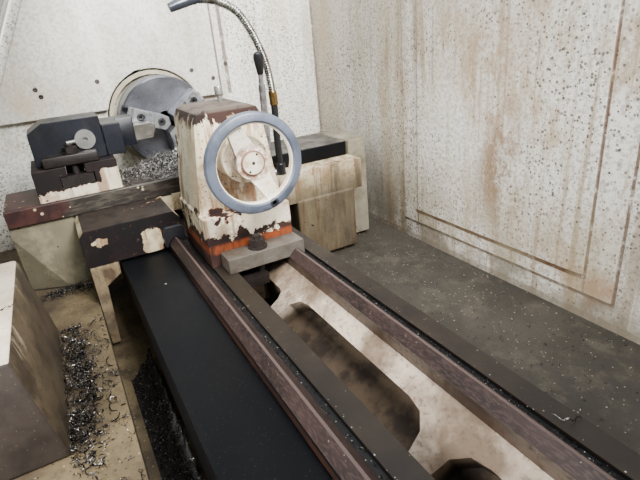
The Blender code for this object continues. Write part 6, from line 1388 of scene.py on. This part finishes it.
x_line = np.linspace(0.185, 0.955, 240)
y_line = np.linspace(-0.288, -0.2385, 16)
grid_x, grid_y = np.meshgrid(x_line, y_line, indexing="ij")
top = np.stack(at(grid_x, grid_y, gutter_height(grid_x, grid_y)), -1)
under = np.stack(at(grid_x, grid_y, np.full(grid_x.shape, GUTTER_LEVEL)), -1)
rows, columns = grid_x.shape
many = rows * columns
top_faces = sheet_faces(rows, columns)[:, ::-1]
under_faces = sheet_faces(rows, columns, first=many)
edge = np.concatenate(
    [
        np.arange(columns),
        np.arange(1, rows) * columns + columns - 1,
        (rows - 1) * columns + np.arange(columns - 2, -1, -1),
        np.arange(rows - 2, 0, -1) * columns,
    ]
)
after = np.roll(edge, -1)
rim_faces = np.stack([edge, after, after + many, edge + many], -1)
grit = grimy("packed_chips", (14, 13, 13), (8, 8, 8), (24, 22, 21), 0.6, bump=0.003, cell=400)
heap_points = np.vstack([top.reshape(-1, 3), under.reshape(-1, 3)])
piece_from("packed_chips", heap_points, [top_faces, under_faces, rim_faces], "machine", grit)
rng = np.random.default_rng(12)
LOOSE = 1500
gx = rng.uniform(0.186, 0.950, LOOSE)
gy = rng.uniform(-0.286, -0.2405, LOOSE)
in_gutter = np.stack(at(gx, gy, gutter_height(gx, gy) - 0.001), -1)
chips("chips_in_gutter", "machine", in_gutter, rng.uniform(0.0015, 0.0045, LOOSE), 24)
print("a heap of", rows, "by", columns, "points with", LOOSE, "loose chips on it")

# %% Dust in the grooves and on the rear floor
GROOVE_OFFSET = 0.0945
GROOVE_LEVEL = -0.0057
IN_GROOVE = 260
gx = rng.uniform(0.30, 0.98, IN_GROOVE)
level = np.full(IN_GROOVE, GROOVE_LEVEL)
rear_groove = np.stack(at(gx, GROOVE_OFFSET + rng.uniform(-0.004, 0.004, IN_GROOVE), level), -1)
front_groove = np.stack(at(gx, -GROOVE_OFFSET + rng.uniform(-0.004, 0.004, IN_GROOVE), level), -1)[:120]
curl = rng.uniform(0.0008, 0.0016, len(rear_groove))
chips("chips_in_rear_groove", "machine", rear_groove, curl, 25, thick=0.0005, flat=0.1, rings=5)
curl = rng.uniform(0.0008, 0.0014, len(front_groove))
chips("chips_in_front_groove", "machine", front_groove, curl, 26, thick=0.0004, flat=0.1, rings=5)
ON_FLOOR = 420
fx = rng.uniform(-0.05, 1.10, ON_FLOOR)
fy = 0.15 + 0.42 * rng.random(ON_FLOOR) ** 1.3
on_floor = np.stack(at(fx, fy, np.full(ON_FLOOR, -0.1897)), -1)
curl = rng.uniform(0.001, 0.003, ON_FLOOR)
chips("chips_on_rear_floor", "machine", on_floor, curl, 27, thick=0.0005, flat=0.2, rings=5)


# %% [markdown]
# ## Long curls
# A few chips came off as one long spring. Such a chip is a helix whose axis lies level and bends a
# little, with a flat four-sided section carried along it that gets thinner at both ends.


# %% Four long curls
RINGS_PER_CURL = 14


def long_curl(name, place, radius, pitch, turns, yaw, thick):
    """A helix of slowly growing radius on its side, whose axis bends with the square of the way along it."""
    t = np.linspace(0, 1, int(turns * RINGS_PER_CURL))
    angle = 2 * np.pi * turns * t
    grow = radius * (0.7 + 0.5 * t)
    length = pitch * turns * (t - 0.5)
    bend = 1.5 * length**2 / (pitch * turns)
    sideways = grow * np.cos(angle) + bend
    flat_x = length * np.cos(yaw) - sideways * np.sin(yaw)
    flat_y = length * np.sin(yaw) + sideways * np.cos(yaw)
    high = grow * np.sin(angle)
    path = np.stack([flat_x, flat_y, high - high.min() + thick], -1) + np.array(place)
    ahead = np.gradient(path, axis=0)
    ahead /= np.linalg.norm(ahead, axis=1)[:, None]
    side = np.cross(np.array([[np.cos(yaw), np.sin(yaw), 0.0]]), ahead)
    side /= np.linalg.norm(side, axis=1)[:, None]
    other = np.cross(ahead, side)
    corners = [(1.0, 0.0), (0.0, 0.45), (-1.0, 0.0), (0.0, -0.45)]
    taper = (0.4 + 0.6 * np.sin(np.pi * t))[:, None] * thick
    points = np.stack([path + taper * (a * side + b * other) for a, b in corners], 1)
    last = len(t) * 4
    caps = np.array([[3, 2, 1, 0], [last - 4, last - 3, last - 2, last - 1]])
    faces = [sheet_faces(len(t), 4, closed=True), caps]
    return piece_from(name, points.reshape(-1, 3), faces, "machine", bright_chips)


long_curl("curl_on_box", at(0.312, -0.432, 0.0712), 0.0016, 0.011, 3.0, 1.45, 0.0011)
long_curl("curl_on_way", at(0.868, 0.117, 0.0002), 0.0018, 0.011, 3.2, 1.2, 0.0011)
long_curl("curl_in_tray", at(0.500, -0.365, -0.1038), 0.0050, 0.012, 3.6, 0.2, 0.0016)
long_curl("curl_in_tray_b", at(0.345, -0.335, -0.1038), 0.0030, 0.012, 3.0, 2.2, 0.0011)
print("four long curls")
